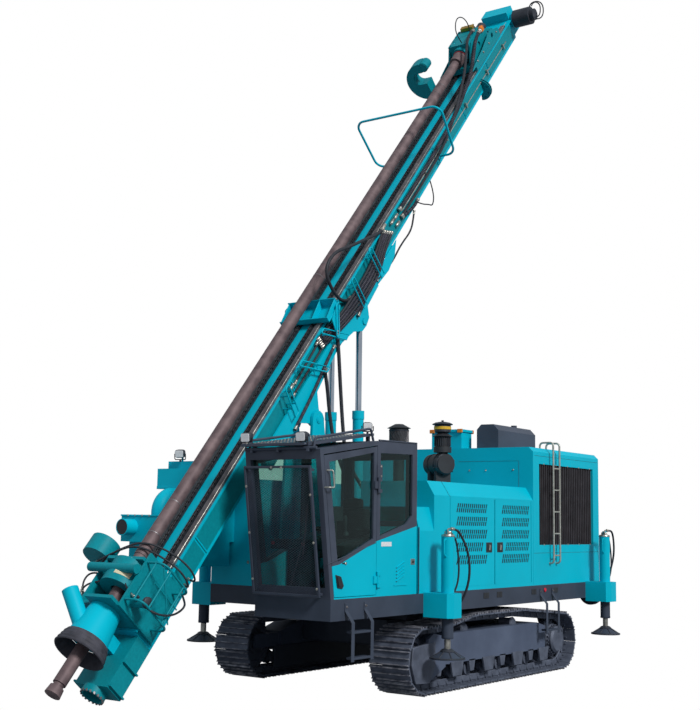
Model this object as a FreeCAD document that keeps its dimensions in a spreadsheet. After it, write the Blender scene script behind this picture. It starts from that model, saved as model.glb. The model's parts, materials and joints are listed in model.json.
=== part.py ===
import FreeCAD, Part
import math
import os
import re
import Sketcher

"""Tracked rock-drilling rig with a leaning mast, in millimetres.

Frame: +Z is up and Z = 0 is the ground. The machine's front points towards -Y and its cab
is on the +X side. X = 0 lies midway between the tracks and Y = 0 at the middle of their
ground contact.

The mast's own pieces are drawn upright about the tilt pin: +Z runs up the mast, -Y points
to the drill string's side and X = 0 is the mast's middle plane. One shared placement then
leans them back and carries them to the pin. Heights along the mast are called stations, and
distances from the pin towards the drill string are called depths.
"""

# name: value. Every piece takes its sizes from these cells.
SIZES = {
    # tracks
    "track_gauge": 2640,
    "shoe_width": 600,
    "axle_span": 4020,
    "axle_height": 500,
    "grouser": 25,
    "shoe_plate": 30,
    "link_height": 90,
    "link_width": 220,
    "shoe_count": 51,
    "wheel_gap": 0.3,
    "idler_width": 230,
    "sprocket_teeth": 21,
    "roller_radius": 90,
    "roller_count": 8,
    "roller_width": 200,
    "carrier_radius": 50,
    "beam_width": 400,
    "beam_low": 340,
    "beam_high": 740,
    "beam_length": 3160,
    "yoke_thick": 35,
    # chassis
    "half_width": 1600,
    "rail_low": 1050,
    "deck_top": 1300,
    "deck_plate": 60,
    "rail_thick": 110,
    "deck_front": -2600,
    "deck_rear": 3380,
    # jacks
    "jack_x": 1865,
    "jack_left_front": -1920,
    "jack_right_front": -2430,
    "jack_rear": 3060,
    "jack_barrel": 85,
    "jack_sleeve": 70,
    "jack_rod": 35,
    "jack_top": 2050,
    "jack_bottom": 750,
    "jack_foot_radius": 230,
    "foot_height": 480,
    "slide_gap": 0.1,
    # cab
    "cab_inner": 470,
    "cab_front": -4120,
    "cab_lean": 260,
    "cab_brow": 3030,
    "cab_post": -3180,
    "cab_post_top": 3200,
    "cab_rear": -2260,
    "cab_rear_top": 3220,
    "cab_wall": 55,
    "belt_front": 1680,
    "belt_post": 1970,
    "belt_rear": 2160,
    "door_gap": 7,
    "knuckle_radius": 17,
    "pivot_radius": 6,
    "hinge_out": 20,
    "glass": 6,
    "frame_bar": 70,
    # side compartments and hood
    "bay_inner": 420,
    "bay_inner_right": 720,
    "bay_front": -1830,
    "bay_wall": 40,
    "bay_side_top": 2570,
    "bay_top": 2760,
    "filler_low": 2100,
    "filler_high": 2410,
    "bay_chamfer": 120,
    "bay_door_front": -1420,
    "bay_door_split": -160,
    "hood_front": 1045,
    "hood_rear": 3450,
    "hood_top": 3380,
    "hood_wall": 40,
    "hood_chamfer": 70,
    "grille_front": 1250,
    "grille_rear": 3225,
    "grille_low": 1900,
    "grille_high": 3130,
    # front tank and dust collector
    "tank_inner": 750,
    "dust_outer": 1850,
    "dust_inner": 1200,
    "dust_front": -4140,
    # mast
    "mast_x": -250,
    "pivot_y": -2260,
    "pivot_z": 3590,
    "mast_tilt": 40.8,
    "mast_half": 260,
    "mast_back": 500,
    "mast_face": 860,
    "mast_foot": -4930,
    "mast_step": -4250,
    "mast_top": 9560,
    "mast_wall": 12,
    "flange_half": 300,
    "rail_inner": 190,
    "rail_outer": 270,
    "rail_height": 40,
    "string_depth": 1150,
    "rod_radius": 85,
    "sub_radius": 76,
    "hammer_radius": 78,
    "bit_radius": 95,
    "rod_low": -3420,
    "rod_high": 7140,
    "hammer_low": -5190,
    "bit_low": -5330,
    "spindle_radius": 70,
    "spindle_seat": 7950,
    "head_top": 8950,
    "cheek_inner": 300,
    "cheek_thick": 30,
    "lug_radius": 130,
    "lug_inner": 150,
    "lug_thick": 40,
    "pin_size": 60,
    "run_gap": 10,
    "pad_gap": 0.5,
    "eye_station": 1760,
    "eye_depth": 270,
    "cylinder_x": 245,
    "cylinder_base_y": -1300,
    "cylinder_base_z": 1500,
    "barrel_radius": 80,
    "lift_rod": 45,
    "barrel_length": 2290,
    "rod_length": 2350,
    "eye_radius": 62,
    "eye_width": 90,
    "hoop_station": 5500,
    "cup_x": 610,
    "claw_x": 360,
    "loader_depth": 1220,
    "carriage_low": 1000,
    "carriage_high": 1360,
}

# Sheet columns: the name, the value.
doc = FreeCAD.newDocument("drilling_rig")
sheet = doc.addObject("Spreadsheet::Sheet", "Sizes")
for row, (alias, value) in enumerate(SIZES.items(), start=1):
    sheet.set(f"A{row}", alias)
    sheet.set(f"B{row}", str(value))
    sheet.setAlias(f"B{row}", alias)
doc.recompute()


class Sizes:
    """The sheet's values by name, for the pieces that are computed in code."""

    def __getattr__(self, alias):
        return float(sheet.get(alias))


S = Sizes()
PIECES = []


def linked(expression):
    """Point every size named in an expression at its cell of the sheet."""
    def cell(match):
        word = match.group(0)
        return f"Sizes.{word}" if word in SIZES else word

    return re.sub(r"[a-z][a-z_]*", cell, str(expression))


def bind(item, **expressions):
    for name, expression in expressions.items():
        item.setExpression(name.replace("__", "."), linked(expression))


def fresh(name):
    """An unused object name built from a plain one."""
    count = sum(1 for item in doc.Objects if item.Name.startswith(name))
    return f"{name}_{count}" if count else name


# ---- building blocks -------------------------------------------------------------------

def block(x, y, z, name="block"):
    """A box between three pairs of expressions."""
    item = doc.addObject("Part::Box", fresh(name))
    for side, axis, (low, high) in zip(("Length", "Width", "Height"), "xyz", (x, y, z)):
        item.setExpression(side, linked(f"({high}) - ({low})"))
        item.setExpression(f"Placement.Base.{axis}", linked(low))
    return item


TURNS = {
    "x": FreeCAD.Rotation(FreeCAD.Vector(0, 1, 0), 90),
    "y": FreeCAD.Rotation(FreeCAD.Vector(1, 0, 0), -90),
    "z": FreeCAD.Rotation(),
}


def seat(item, axis, low, centre):
    """Stand a round primitive on an axis, from low upwards, at a centre of two expressions."""
    item.Placement = FreeCAD.Placement(FreeCAD.Vector(), TURNS[axis])
    others = [letter for letter in "xyz" if letter != axis]
    item.setExpression(f"Placement.Base.{axis}", linked(low))
    for letter, place in zip(others, centre):
        item.setExpression(f"Placement.Base.{letter}", linked(place))
    return item


def drum(axis, radius, span, centre, name="drum"):
    """A cylinder along an axis over a pair of expressions."""
    item = doc.addObject("Part::Cylinder", fresh(name))
    bind(item, Radius=radius, Height=f"({span[1]}) - ({span[0]})")
    return seat(item, axis, span[0], centre)


def cone(axis, radii, span, centre, name="cone"):
    """A frustum along an axis, with its low and high radii."""
    item = doc.addObject("Part::Cone", fresh(name))
    bind(item, Radius1=radii[0], Radius2=radii[1], Height=f"({span[1]}) - ({span[0]})")
    return seat(item, axis, span[0], centre)


PLANES = {"yz": "YZ_Plane", "xz": "XZ_Plane", "xy": "XY_Plane"}


def prism(plane, points, span, name="plate"):
    """A sketched outline on a principal plane, padded over a pair of expressions.

    The outline's points are pairs of expressions: (y, z) on "yz", (x, z) on "xz" and (x, y)
    on "xy". The XZ plane's normal points to -Y, so there the pad starts at the high end.
    """
    body = doc.addObject("PartDesign::Body", fresh(name))
    sketch = body.newObject("Sketcher::SketchObject", fresh(name + "_sketch"))
    origin = [item for item in body.Origin.OriginFeatures if item.Role == PLANES[plane]][0]
    sketch.AttachmentSupport = [(origin, "")]
    sketch.MapMode = "FlatFace"
    low, high = span
    start = f"-({high})" if plane == "xz" else low
    sketch.setExpression("AttachmentOffset.Base.z", linked(start))
    count = len(points)
    spread = 10.0 * count
    corners = [
        FreeCAD.Vector(spread * math.cos(turn), spread * math.sin(turn), 0)
        for turn in (2 * math.pi * index / count for index in range(count))
    ]
    for index in range(count):
        sketch.addGeometry(Part.LineSegment(corners[index], corners[(index + 1) % count]), False)
    for index in range(count):
        sketch.addConstraint(Sketcher.Constraint("Coincident", index, 2, (index + 1) % count, 1))
    for index, (across, up) in enumerate(points):
        for kind, place in (("DistanceX", across), ("DistanceY", up)):
            number = sketch.addConstraint(Sketcher.Constraint(kind, -1, 1, index, 1, 10.0 + index))
            sketch.setExpression(f"Constraints[{number}]", linked(place))
    pad = body.newObject("PartDesign::Pad", fresh(name + "_pad"))
    pad.Profile = sketch
    pad.setExpression("Length", linked(f"({high}) - ({low})"))
    return body


def fuse(*items, name="joined"):
    item = doc.addObject("Part::MultiFuse", fresh(name))
    item.Shapes = list(items)
    return item


def cut(base, *tools, name="trimmed"):
    item = doc.addObject("Part::Cut", fresh(name))
    item.Base = base
    item.Tool = tools[0] if len(tools) == 1 else fuse(*tools)
    return item


def common(first, second, name="shared"):
    item = doc.addObject("Part::Common", fresh(name))
    item.Base = first
    item.Tool = second
    return item


def gather(*items, name="set"):
    """Several solids that do not touch, kept as one piece."""
    item = doc.addObject("Part::Compound", fresh(name))
    item.Links = list(items)
    return item


def mirrored(item, name="mirrored"):
    """The same piece on the machine's other side."""
    copy = doc.addObject("Part::Mirroring", fresh(name))
    copy.Source = item
    copy.Base = FreeCAD.Vector(0, 0, 0)
    copy.Normal = FreeCAD.Vector(1, 0, 0)
    return copy


def shaped(shape, name="shape"):
    """A piece whose shape is worked out in code."""
    item = doc.addObject("Part::Feature", fresh(name))
    item.Shape = shape
    return item


def keep(label, item):
    """Name a finished piece that stands in the machine's frame."""
    item.Label = label
    PIECES.append(item)
    return item


def lean(label, item):
    """Name a finished mast piece and lean it back about the tilt pin."""
    holder = doc.addObject("Part::Compound", fresh("leaning"))
    holder.Links = [item]
    holder.Placement = FreeCAD.Placement(
        FreeCAD.Vector(S.mast_x, S.pivot_y, S.pivot_z),
        FreeCAD.Rotation(FreeCAD.Vector(1, 0, 0), -S.mast_tilt),
    )
    return keep(label, holder)


# ---- tracks ----------------------------------------------------------------------------

def walk(distance, radius):
    """The point and outward direction at a distance along the loop of a radius."""
    half = S.axle_span / 2
    run = S.axle_span
    bend = math.pi * radius
    distance %= 2 * (run + bend)
    if distance < run:
        return (-half + distance, S.axle_height - radius), (0, -1)
    distance -= run
    if distance < bend:
        turn = -math.pi / 2 + distance / radius
        out = (math.cos(turn), math.sin(turn))
        return (half + radius * out[0], S.axle_height + radius * out[1]), out
    distance -= bend
    if distance < run:
        return (half - distance, S.axle_height + radius), (0, 1)
    distance -= run
    turn = math.pi / 2 + distance / radius
    out = (math.cos(turn), math.sin(turn))
    return (-half + radius * out[0], S.axle_height + radius * out[1]), out


def stadium(radius):
    """A closed wire of two straight runs and two half circles round the axles."""
    half = S.axle_span / 2
    low, high = S.axle_height - radius, S.axle_height + radius
    corner = lambda y, z: FreeCAD.Vector(0, y, z)
    middle = S.axle_height
    front = Part.Arc(corner(-half, high), corner(-half - radius, middle), corner(-half, low))
    rear = Part.Arc(corner(half, low), corner(half + radius, middle), corner(half, high))
    bottom = Part.LineSegment(corner(-half, low), corner(half, low))
    top = Part.LineSegment(corner(half, high), corner(-half, high))
    return Part.Wire([item.toShape() for item in (front, bottom, rear, top)])


def grouser_wire(outer):
    """The shoes' toothed outline: two bars on each shoe round the whole loop."""
    base = outer - S.grouser
    length = 2 * (S.axle_span + math.pi * base)
    pitch = length / (2 * S.shoe_count)
    bar_foot, bar_tip = 0.26 * pitch, 0.14 * pitch
    points = []
    for index in range(int(2 * S.shoe_count)):
        start = (index + 0.25) * pitch
        middle = start + bar_foot / 2
        lift = (outer - base)
        for place, rise in (
            (start, 0.0),
            (middle - bar_tip / 2, lift),
            (middle + bar_tip / 2, lift),
            (start + bar_foot, 0.0),
        ):
            (y, z), out = walk(place, base)
            points.append(FreeCAD.Vector(0, y + rise * out[0], z + rise * out[1]))
    return Part.makePolygon(points + points[:1])


def track_loop(side):
    outer = S.axle_height
    plate_in = outer - S.grouser - S.shoe_plate
    link_in = plate_in - S.link_height
    middle = side * S.track_gauge / 2
    shoes = Part.makeFace([grouser_wire(outer), stadium(plate_in)], "Part::FaceMakerBullseye")
    shoes = shoes.extrude(FreeCAD.Vector(S.shoe_width, 0, 0))
    shoes.translate(FreeCAD.Vector(middle - S.shoe_width / 2, 0, 0))
    links = Part.makeFace([stadium(plate_in + 1), stadium(link_in)], "Part::FaceMakerBullseye")
    links = links.extrude(FreeCAD.Vector(S.link_width, 0, 0))
    links.translate(FreeCAD.Vector(middle - S.link_width / 2, 0, 0))
    return shoes.fuse(links)


WHEEL = "axle_height - grouser - shoe_plate - link_height - wheel_gap"


def track_wheels(side, middle):
    """One side's idler, at the front end of the track."""
    half = f"{middle} - idler_width / 2", f"{middle} + idler_width / 2"
    rim = drum("x", WHEEL, half, ("-axle_span / 2", "axle_height"), "idler_rim")
    dish = drum("x", f"({WHEEL}) * 0.78", (f"{middle} + 70", f"{middle} + idler_width / 2"),
                ("-axle_span / 2", "axle_height"), "idler_dish")
    hub = drum("x", "110", half, ("-axle_span / 2", "axle_height"), "idler_hub")
    return fuse(cut(rim, dish), hub)


def sprocket(middle, side):
    """A toothed drive ring with the final drive's hub on its outer side."""
    tip = S.axle_height - S.grouser - S.shoe_plate - S.link_height - S.wheel_gap
    root = tip - 42
    count = int(S.sprocket_teeth)
    points = []
    for tooth in range(count):
        start = 2 * math.pi * tooth / count
        width = 2 * math.pi / count
        for share, radius in ((0.0, root), (0.22, root), (0.40, tip), (0.60, tip), (0.78, root)):
            turn = start + share * width
            points.append(FreeCAD.Vector(0, S.axle_span / 2 + radius * math.cos(turn),
                                         S.axle_height + radius * math.sin(turn)))
    ring = Part.Face(Part.makePolygon(points + points[:1])).extrude(FreeCAD.Vector(90, 0, 0))
    ring.translate(FreeCAD.Vector(middle - 45, 0, 0))
    axis = FreeCAD.Vector(1, 0, 0)
    start = FreeCAD.Vector(middle - S.idler_width / 2, S.axle_span / 2, S.axle_height)
    hub = Part.makeCylinder(235, S.idler_width, start, axis)
    outer = FreeCAD.Vector(middle + side * S.idler_width / 2, S.axle_span / 2, S.axle_height)
    cap = Part.makeCylinder(190, 130, outer, FreeCAD.Vector(side, 0, 0))
    return ring.fuse([hub, cap])


def roller_set(middle):
    """Bottom rollers in their yokes under the beam, and two carriers on top of it."""
    rollers = []
    low = "grouser + shoe_plate + link_height + wheel_gap"
    for index in range(int(SIZES["roller_count"])):
        place = f"-axle_span * 0.385 + {index} * axle_span * 0.77 / (roller_count - 1)"
        wheel = drum("x", "roller_radius", (f"{middle} - roller_width / 2", f"{middle} + roller_width / 2"),
                     (place, f"{low} + roller_radius"), "roller")
        yokes = []
        for edge in (-1, 1):
            near = f"{middle} + {edge} * (roller_width / 2 + 20) - 20"
            far = f"{middle} + {edge} * (roller_width / 2 + 20) + 20"
            yokes.append(block((near, far), (f"{place} - 65", f"{place} + 65"),
                               (f"{low} + roller_radius - 45", "beam_low"), "roller_yoke"))
        rollers.append(fuse(wheel, *yokes))
    top = "2 * axle_height - grouser - shoe_plate - link_height - wheel_gap"
    for share in (-0.19, 0.19):
        place = f"axle_span * {share}"
        wheel = drum("x", "carrier_radius", (f"{middle} - 90", f"{middle} + 90"),
                     (place, f"{top} - carrier_radius"), "carrier_roller")
        stand = block((f"{middle} - 60", f"{middle} + 60"), (f"{place} - 35", f"{place} + 35"),
                      ("beam_high", f"{top} - carrier_radius"), "carrier_stand")
        rollers.append(fuse(wheel, stand))
    return rollers


def track_frame(middle, side):
    """The long side beam with the idler's yoke in front and a guard on its outer side."""
    front = "-beam_length / 2"
    rear = "beam_length / 2"
    beam = prism("yz", [
        (front, "beam_low"),
        (rear, "beam_low"),
        (rear, "beam_high - 60"),
        (f"({rear}) - 260", "beam_high"),
        (f"({front}) + 420", "beam_high"),
        (front, "beam_high - 130"),
    ], (f"{middle} - beam_width / 2", f"{middle} + beam_width / 2"), "track_beam")
    parts = [beam]
    for edge in (-1, 1):
        inner = f"{middle} + {edge} * (idler_width / 2 + wheel_gap + yoke_thick / 2)"
        parts.append(block((f"{inner} - yoke_thick / 2", f"{inner} + yoke_thick / 2"),
                           (f"-axle_span / 2 - 110", f"{front} + 30"),
                           ("axle_height - 95", "axle_height + 95"), "yoke_arm"))
    inboard = f"{middle} - {side} * (idler_width / 2 + wheel_gap + yoke_thick / 2)"
    parts.append(block((f"{inboard} - yoke_thick / 2", f"{inboard} + yoke_thick / 2"),
                       (f"{rear} - 30", "axle_span / 2 + 240"),
                       ("axle_height - 150", "axle_height + 150"), "motor_plate"))
    guard = f"{middle} + {side} * (beam_width / 2 + 20)"
    parts.append(prism("yz", [
        ("-axle_span / 2 + 130", "150"),
        ("-axle_span / 2 + 560", "beam_low - 20"),
        ("-axle_span / 2 + 560", "beam_high - 30"),
        ("-axle_span / 2 + 260", "beam_high + 30"),
        ("-axle_span / 2 + 130", "beam_high - 40"),
    ], (f"{guard} - 20", f"{guard} + 20"), "nose_guard"))
    return fuse(*parts)


def undercarriage():
    for label, side in (("left", 1), ("right", -1)):
        middle = f"{side} * track_gauge / 2"
        number = side * S.track_gauge / 2
        keep(f"track_{label}", shaped(track_loop(side), "track"))
        keep(f"track_frame_{label}", track_frame(middle, side))
        keep(f"running_gear_{label}", gather(
            track_wheels(side, middle),
            shaped(sprocket(number, side), "sprocket"),
            *roller_set(middle)))
    inner = "track_gauge / 2 - beam_width / 2"
    beams = [
        block((f"-({inner})", inner), (f"{place} - 190", f"{place} + 190"),
              ("beam_low + 130", "beam_high + 40"), "cross_beam")
        for place in ("-axle_span * 0.22", "axle_span * 0.22")
    ]
    core = block(("-520", "520"), ("-axle_span * 0.32", "axle_span * 0.32"),
                 ("beam_low + 180", "beam_high + 110"), "core")
    riser = block(("-680", "680"), ("-axle_span * 0.26", "axle_span * 0.26"),
                  ("beam_high + 110", "rail_low"), "riser")
    keep("centre_frame", fuse(*beams, core, riser))


# ---- chassis and jacks -----------------------------------------------------------------

def chassis():
    """Side rails, cross members and the deck, with the cab's floor reaching further forward.

    The middle and the right side end at deck_front, which leaves the mast its slot.
    """
    outer = "half_width"
    rails = [
        block(("half_width - rail_thick", outer), ("cab_front", "deck_rear"), ("rail_low", "deck_top"), "rail"),
        block(("-half_width", "rail_thick - half_width"), ("deck_front", "deck_rear"),
              ("rail_low", "deck_top"), "rail"),
        block(("cab_inner", f"{outer} - rail_thick"), ("cab_front", "cab_front + rail_thick"),
              ("rail_low", "deck_top"), "cab_skirt"),
        block(("cab_inner", "cab_inner + rail_thick"), ("cab_front + rail_thick", "deck_front"),
              ("rail_low", "deck_top"), "cab_inner_rail"),
        block(("rail_thick - half_width", "half_width - rail_thick"), ("deck_front", "deck_front + rail_thick"),
              ("rail_low", "deck_top"), "front_member"),
        block(("rail_thick - half_width", "half_width - rail_thick"), ("deck_rear - rail_thick", "deck_rear"),
              ("rail_low", "deck_top"), "rear_member"),
    ]
    deck = block(("rail_thick - half_width", "half_width - rail_thick"), ("deck_front", "deck_rear"),
                 ("deck_top - deck_plate", "deck_top"), "deck")
    cab_floor = block(("cab_inner", "half_width - rail_thick"), ("cab_front", "deck_front"),
                      ("deck_top - deck_plate", "deck_top"), "cab_deck")
    for middle in ("-720", "720"):
        rails.append(block((f"{middle} - 90", f"{middle} + 90"), ("deck_front + rail_thick", "deck_rear - rail_thick"),
                           ("rail_low", "deck_top - deck_plate"), "sub_rail"))
    disc = drum("y", "190", ("deck_rear - 100", "deck_rear - 20"), ("half_width - 100", "rail_low + 55"), "rear_disc")
    keep("chassis_frame", fuse(*rails, deck, cab_floor, disc))


def jack_barrel(side, place):
    """A jack's barrel and sleeve in the block that carries it on the rail."""
    middle = f"{side} * jack_x"
    centre = (middle, place)
    inner = f"{side} * half_width"
    tip = f"{side} * (jack_x + 150)"
    shoulder = f"{side} * (jack_x + 85)"
    block_span = ("rail_low - 50", "deck_top + 10")
    outline = [
        (inner, f"{place} - 165"),
        (shoulder, f"{place} - 165"),
        (tip, f"{place} - 95"),
        (tip, f"{place} + 95"),
        (shoulder, f"{place} + 165"),
        (inner, f"{place} + 165"),
    ]
    arm = prism("xy", outline if side > 0 else outline[::-1], block_span, "jack_arm")
    barrel = drum("z", "jack_barrel", ("deck_top", "jack_top"), centre, "barrel")
    sleeve = drum("z", "jack_sleeve", ("jack_bottom", "rail_low"), centre, "sleeve")
    port = drum("z", "32", ("jack_top", "jack_top + 70"), centre, "port")
    bore = drum("z", "jack_rod + slide_gap", ("jack_bottom - 5", "jack_top - 60"), centre, "jack_bore")
    return cut(fuse(arm, barrel, sleeve, port), bore)


def jack_foot(side, place):
    centre = (f"{side} * jack_x", place)
    rod = drum("z", "jack_rod", ("foot_height + 90", "jack_top - 110"), centre, "jack_rod")
    neck = cone("z", ("85", "55"), ("foot_height + 45", "foot_height + 130"), centre, "foot_neck")
    dish = cone("z", ("jack_foot_radius", "85"), ("foot_height + 12", "foot_height + 95"), centre, "foot_dish")
    pad = drum("z", "jack_foot_radius", ("foot_height", "foot_height + 14"), centre, "foot_pad")
    return fuse(rod, neck, dish, pad)


JACKS = (
    ("left_front", 1, "jack_left_front"),
    ("left_rear", 1, "jack_rear"),
    ("right_front", -1, "jack_right_front"),
    ("right_rear", -1, "jack_rear"),
)


def jacks():
    keep("jack_barrels", gather(*[jack_barrel(side, place) for label, side, place in JACKS]))
    for label, side, place in JACKS:
        keep(f"jack_foot_{label}", jack_foot(side, place))


def hanging_steps():
    """Two steel steps that hang from the left rail, under the cab door and under the hood."""
    steps = []
    for middle, out, inboard, low, treads in (
        ("-3450", "0", "160", "590", ("600", "900")),
        ("1500", "30", "0", "570", ("575", "915")),
    ):
        parts = []
        face = f"half_width + {out}"
        for offset in (-180, 180):
            span = (f"{middle} + {offset} - 42", f"{middle} + {offset} + 42")
            parts.append(block((face, f"{face} + 18"), span, (low, "deck_top - 60"), "step_strap"))
            if out != "0":
                parts.append(block(("half_width", face), span, ("rail_low + 20", "deck_top - 60"), "strap_spacer"))
        depth_out = "18" if out == "0" else "110"
        for height in treads:
            parts.append(block((f"{face} - {inboard}", f"{face} + {depth_out}"),
                               (f"{middle} - 222", f"{middle} + 222"), (height, f"{height} + 32"), "tread"))
        steps.append(fuse(*parts))
    keep("hanging_steps", gather(*steps))


# ---- cab -------------------------------------------------------------------------------

CAB_X = ("cab_inner", "half_width")


def cab_outline(inset):
    """The cab's side view, drawn in by an inset all round."""
    return [
        (f"cab_front + {inset}", f"deck_top + {inset}"),
        (f"cab_front - cab_lean + {inset}", f"cab_brow - {inset}"),
        (f"cab_post", f"cab_post_top - {inset}"),
        (f"cab_rear - {inset}", f"cab_rear_top - {inset}"),
        (f"cab_rear - {inset}", f"deck_top + {inset}"),
    ]


def below_belt():
    """Everything under the line where the painted panels meet the dark frame and its front."""
    front = "cab_front + 65 - (belt_front - deck_top) * cab_lean / (cab_brow - deck_top)"
    return prism("yz", [
        ("cab_front + 65 + 50 * cab_lean / (cab_brow - deck_top)", "deck_top - 50"),
        (front, "belt_front"),
        ("cab_front + 160", "belt_front + 20"),
        ("cab_post", "belt_post"),
        ("cab_rear", "belt_rear"),
        ("cab_rear + 300", "belt_rear"),
        ("cab_rear + 300", "deck_top - 50"),
    ], ("cab_inner - 200", "half_width + 200"), "below_belt")


def door_outline(grow):
    """The door in side view, between the leaning front edge and the middle post."""
    edge = "frame_bar"
    return [
        (f"cab_front + {edge} - {grow}", f"deck_top + 25 - {grow}"),
        (f"cab_front - cab_lean + {edge} + 12 - {grow}", f"cab_brow - {edge} + 2 * {grow}"),
        (f"cab_post - 6 + {grow}", f"cab_post_top - {edge} + 2 * {grow}"),
        (f"cab_post - 6 + {grow}", f"deck_top + 25 - {grow}"),
    ]


def door_window():
    """The pane in the door, cut along the belt line."""
    return [
        ("cab_front + 2.1 * frame_bar - 20", "belt_front + 50"),
        ("cab_front - cab_lean + 2.1 * frame_bar + 40", "cab_brow - 2 * frame_bar"),
        ("cab_post - frame_bar - 6", "cab_post_top - 2.1 * frame_bar"),
        ("cab_post - frame_bar - 6", "belt_post + 30"),
    ]


def rear_window():
    return [
        ("cab_post + frame_bar", "belt_post + 60"),
        ("cab_post + frame_bar", "cab_post_top - 2.1 * frame_bar"),
        ("cab_rear - 1.6 * frame_bar", "cab_rear_top - 2.1 * frame_bar"),
        ("cab_rear - 1.6 * frame_bar", "belt_rear + 130"),
        ("cab_rear - 3.6 * frame_bar", "belt_rear + 25"),
    ]


def windscreen_cut():
    """The opening in the leaning front wall."""
    return block(("cab_inner + frame_bar", "half_width - frame_bar"),
                 ("cab_front - cab_lean - 60", "cab_front + 120"),
                 ("deck_top + 130", "cab_brow - 1.6 * frame_bar"), "windscreen_cut")


def back_window_cut():
    return block(("cab_inner + 2 * frame_bar", "half_width - 2 * frame_bar"),
                 ("cab_rear - 2 * cab_wall", "cab_rear + 60"),
                 ("belt_rear + 60", "cab_rear_top - 3 * frame_bar"), "back_window_cut")


WALL_X = ("half_width - cab_wall", "half_width")


def cab_shell():
    """The whole cab as one hollow box with its door and windows cut out."""
    outer = prism("yz", cab_outline("0"), CAB_X, "cab_outer")
    inner = prism("yz", cab_outline("cab_wall"), ("cab_inner + cab_wall", "half_width - cab_wall"), "cab_inside")
    cuts = [inner]
    cuts.append(prism("yz", door_outline("door_gap"), ("half_width - cab_wall - 5", "half_width + 20"), "door_cut"))
    cuts.append(prism("yz", rear_window(), ("half_width - cab_wall - 5", "half_width + 20"), "rear_side_cut"))
    cuts.append(prism("yz", rear_window(), ("cab_inner - 20", "cab_inner + cab_wall + 5"), "right_rear_cut"))
    cuts.append(prism("yz", door_window(), ("cab_inner - 20", "cab_inner + cab_wall + 5"), "right_front_cut"))
    cuts.append(windscreen_cut())
    cuts.append(back_window_cut())
    return cut(outer, *cuts, name="cab_shell")


def slab_glass():
    """The leaning windscreen, seated inside the front opening's frame."""
    return prism("yz", [
        ("cab_front + cab_wall - 130 * cab_lean / (cab_brow - deck_top)", "deck_top + 130"),
        ("cab_front + cab_wall + glass - 130 * cab_lean / (cab_brow - deck_top)", "deck_top + 130"),
        ("cab_front - cab_lean + cab_wall + glass + 1.6 * frame_bar * cab_lean / (cab_brow - deck_top)",
         "cab_brow - 1.6 * frame_bar"),
        ("cab_front - cab_lean + cab_wall + 1.6 * frame_bar * cab_lean / (cab_brow - deck_top)",
         "cab_brow - 1.6 * frame_bar"),
    ], ("cab_inner + frame_bar", "half_width - frame_bar"), "windscreen")


def cab():
    low, high = HINGE_HEIGHTS["low"], HINGE_HEIGHTS["high"]
    keep("cab_base", fuse(common(cab_shell(), below_belt()), post_hinge(low)))
    keep("cab_frame", fuse(cut(cab_shell(), below_belt()), post_hinge(high)))
    pane_x = ("half_width - cab_wall / 2 - glass / 2", "half_width - cab_wall / 2 + glass / 2")
    right_x = ("cab_inner + cab_wall / 2 - glass / 2", "cab_inner + cab_wall / 2 + glass / 2")
    rear_pane = block(("cab_inner + 2 * frame_bar", "half_width - 2 * frame_bar"),
                      ("cab_rear - cab_wall / 2 - glass / 2", "cab_rear - cab_wall / 2 + glass / 2"),
                      ("belt_rear + 60", "cab_rear_top - 3 * frame_bar"), "back_pane")
    keep("cab_windows", gather(
        slab_glass(),
        prism("yz", rear_window(), pane_x, "left_rear_pane"),
        prism("yz", rear_window(), right_x, "right_rear_pane"),
        prism("yz", door_window(), right_x, "right_front_pane"),
        rear_pane))
    door = prism("yz", door_outline("0"), WALL_X, "door_slab")
    hole = prism("yz", door_window(), ("half_width - cab_wall - 5", "half_width + 5"), "door_window_cut")
    lower = fuse(common(cut(door, hole), below_belt()), door_knuckle(low))
    keep("cab_door_panel", cut(lower, door_pin_bore(low)))
    door_again = prism("yz", door_outline("0"), WALL_X, "door_slab")
    hole_again = prism("yz", door_window(), ("half_width - cab_wall - 5", "half_width + 5"), "door_window_cut")
    upper = fuse(cut(cut(door_again, hole_again), below_belt()), door_knuckle(high))
    keep("cab_door_frame", cut(upper, door_pin_bore(high)))
    keep("cab_door_window", prism("yz", door_window(), pane_x, "door_pane"))


HINGE = ("half_width + hinge_out", "cab_post + 5")
HINGE_HEIGHTS = {"low": "belt_front - 220", "high": "belt_post + 640"}


def door_knuckle(height):
    """The door's half of a hinge: a bored knuckle on a leaf over the door's face."""
    span = (height, f"{height} + 90")
    leaf = block(("half_width", "half_width + hinge_out"), ("cab_post - 75", "cab_post - 2"), span, "door_leaf")
    tube = drum("z", "knuckle_radius", span, HINGE, "door_knuckle")
    return fuse(leaf, tube)


def door_pin_bore(height):
    return drum("z", "pivot_radius + slide_gap", (f"{height} - 5", f"{height} + 95"), HINGE, "door_pin_bore")


def post_hinge(height):
    """The post's half: two knuckles on a leaf, with the pin between them."""
    parts = []
    for low, high in ((f"{height} - 50", f"{height} - 2"), (f"{height} + 92", f"{height} + 140")):
        parts.append(drum("z", "knuckle_radius", (low, high), HINGE, "post_knuckle"))
        parts.append(block(("half_width", "half_width + hinge_out"), ("cab_post + 12", "cab_post + 80"),
                           (low, high), "post_leaf"))
    pin = drum("z", "pivot_radius", (f"{height} - 40", f"{height} + 130"), HINGE, "hinge_pin")
    return fuse(*parts, pin)


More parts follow.
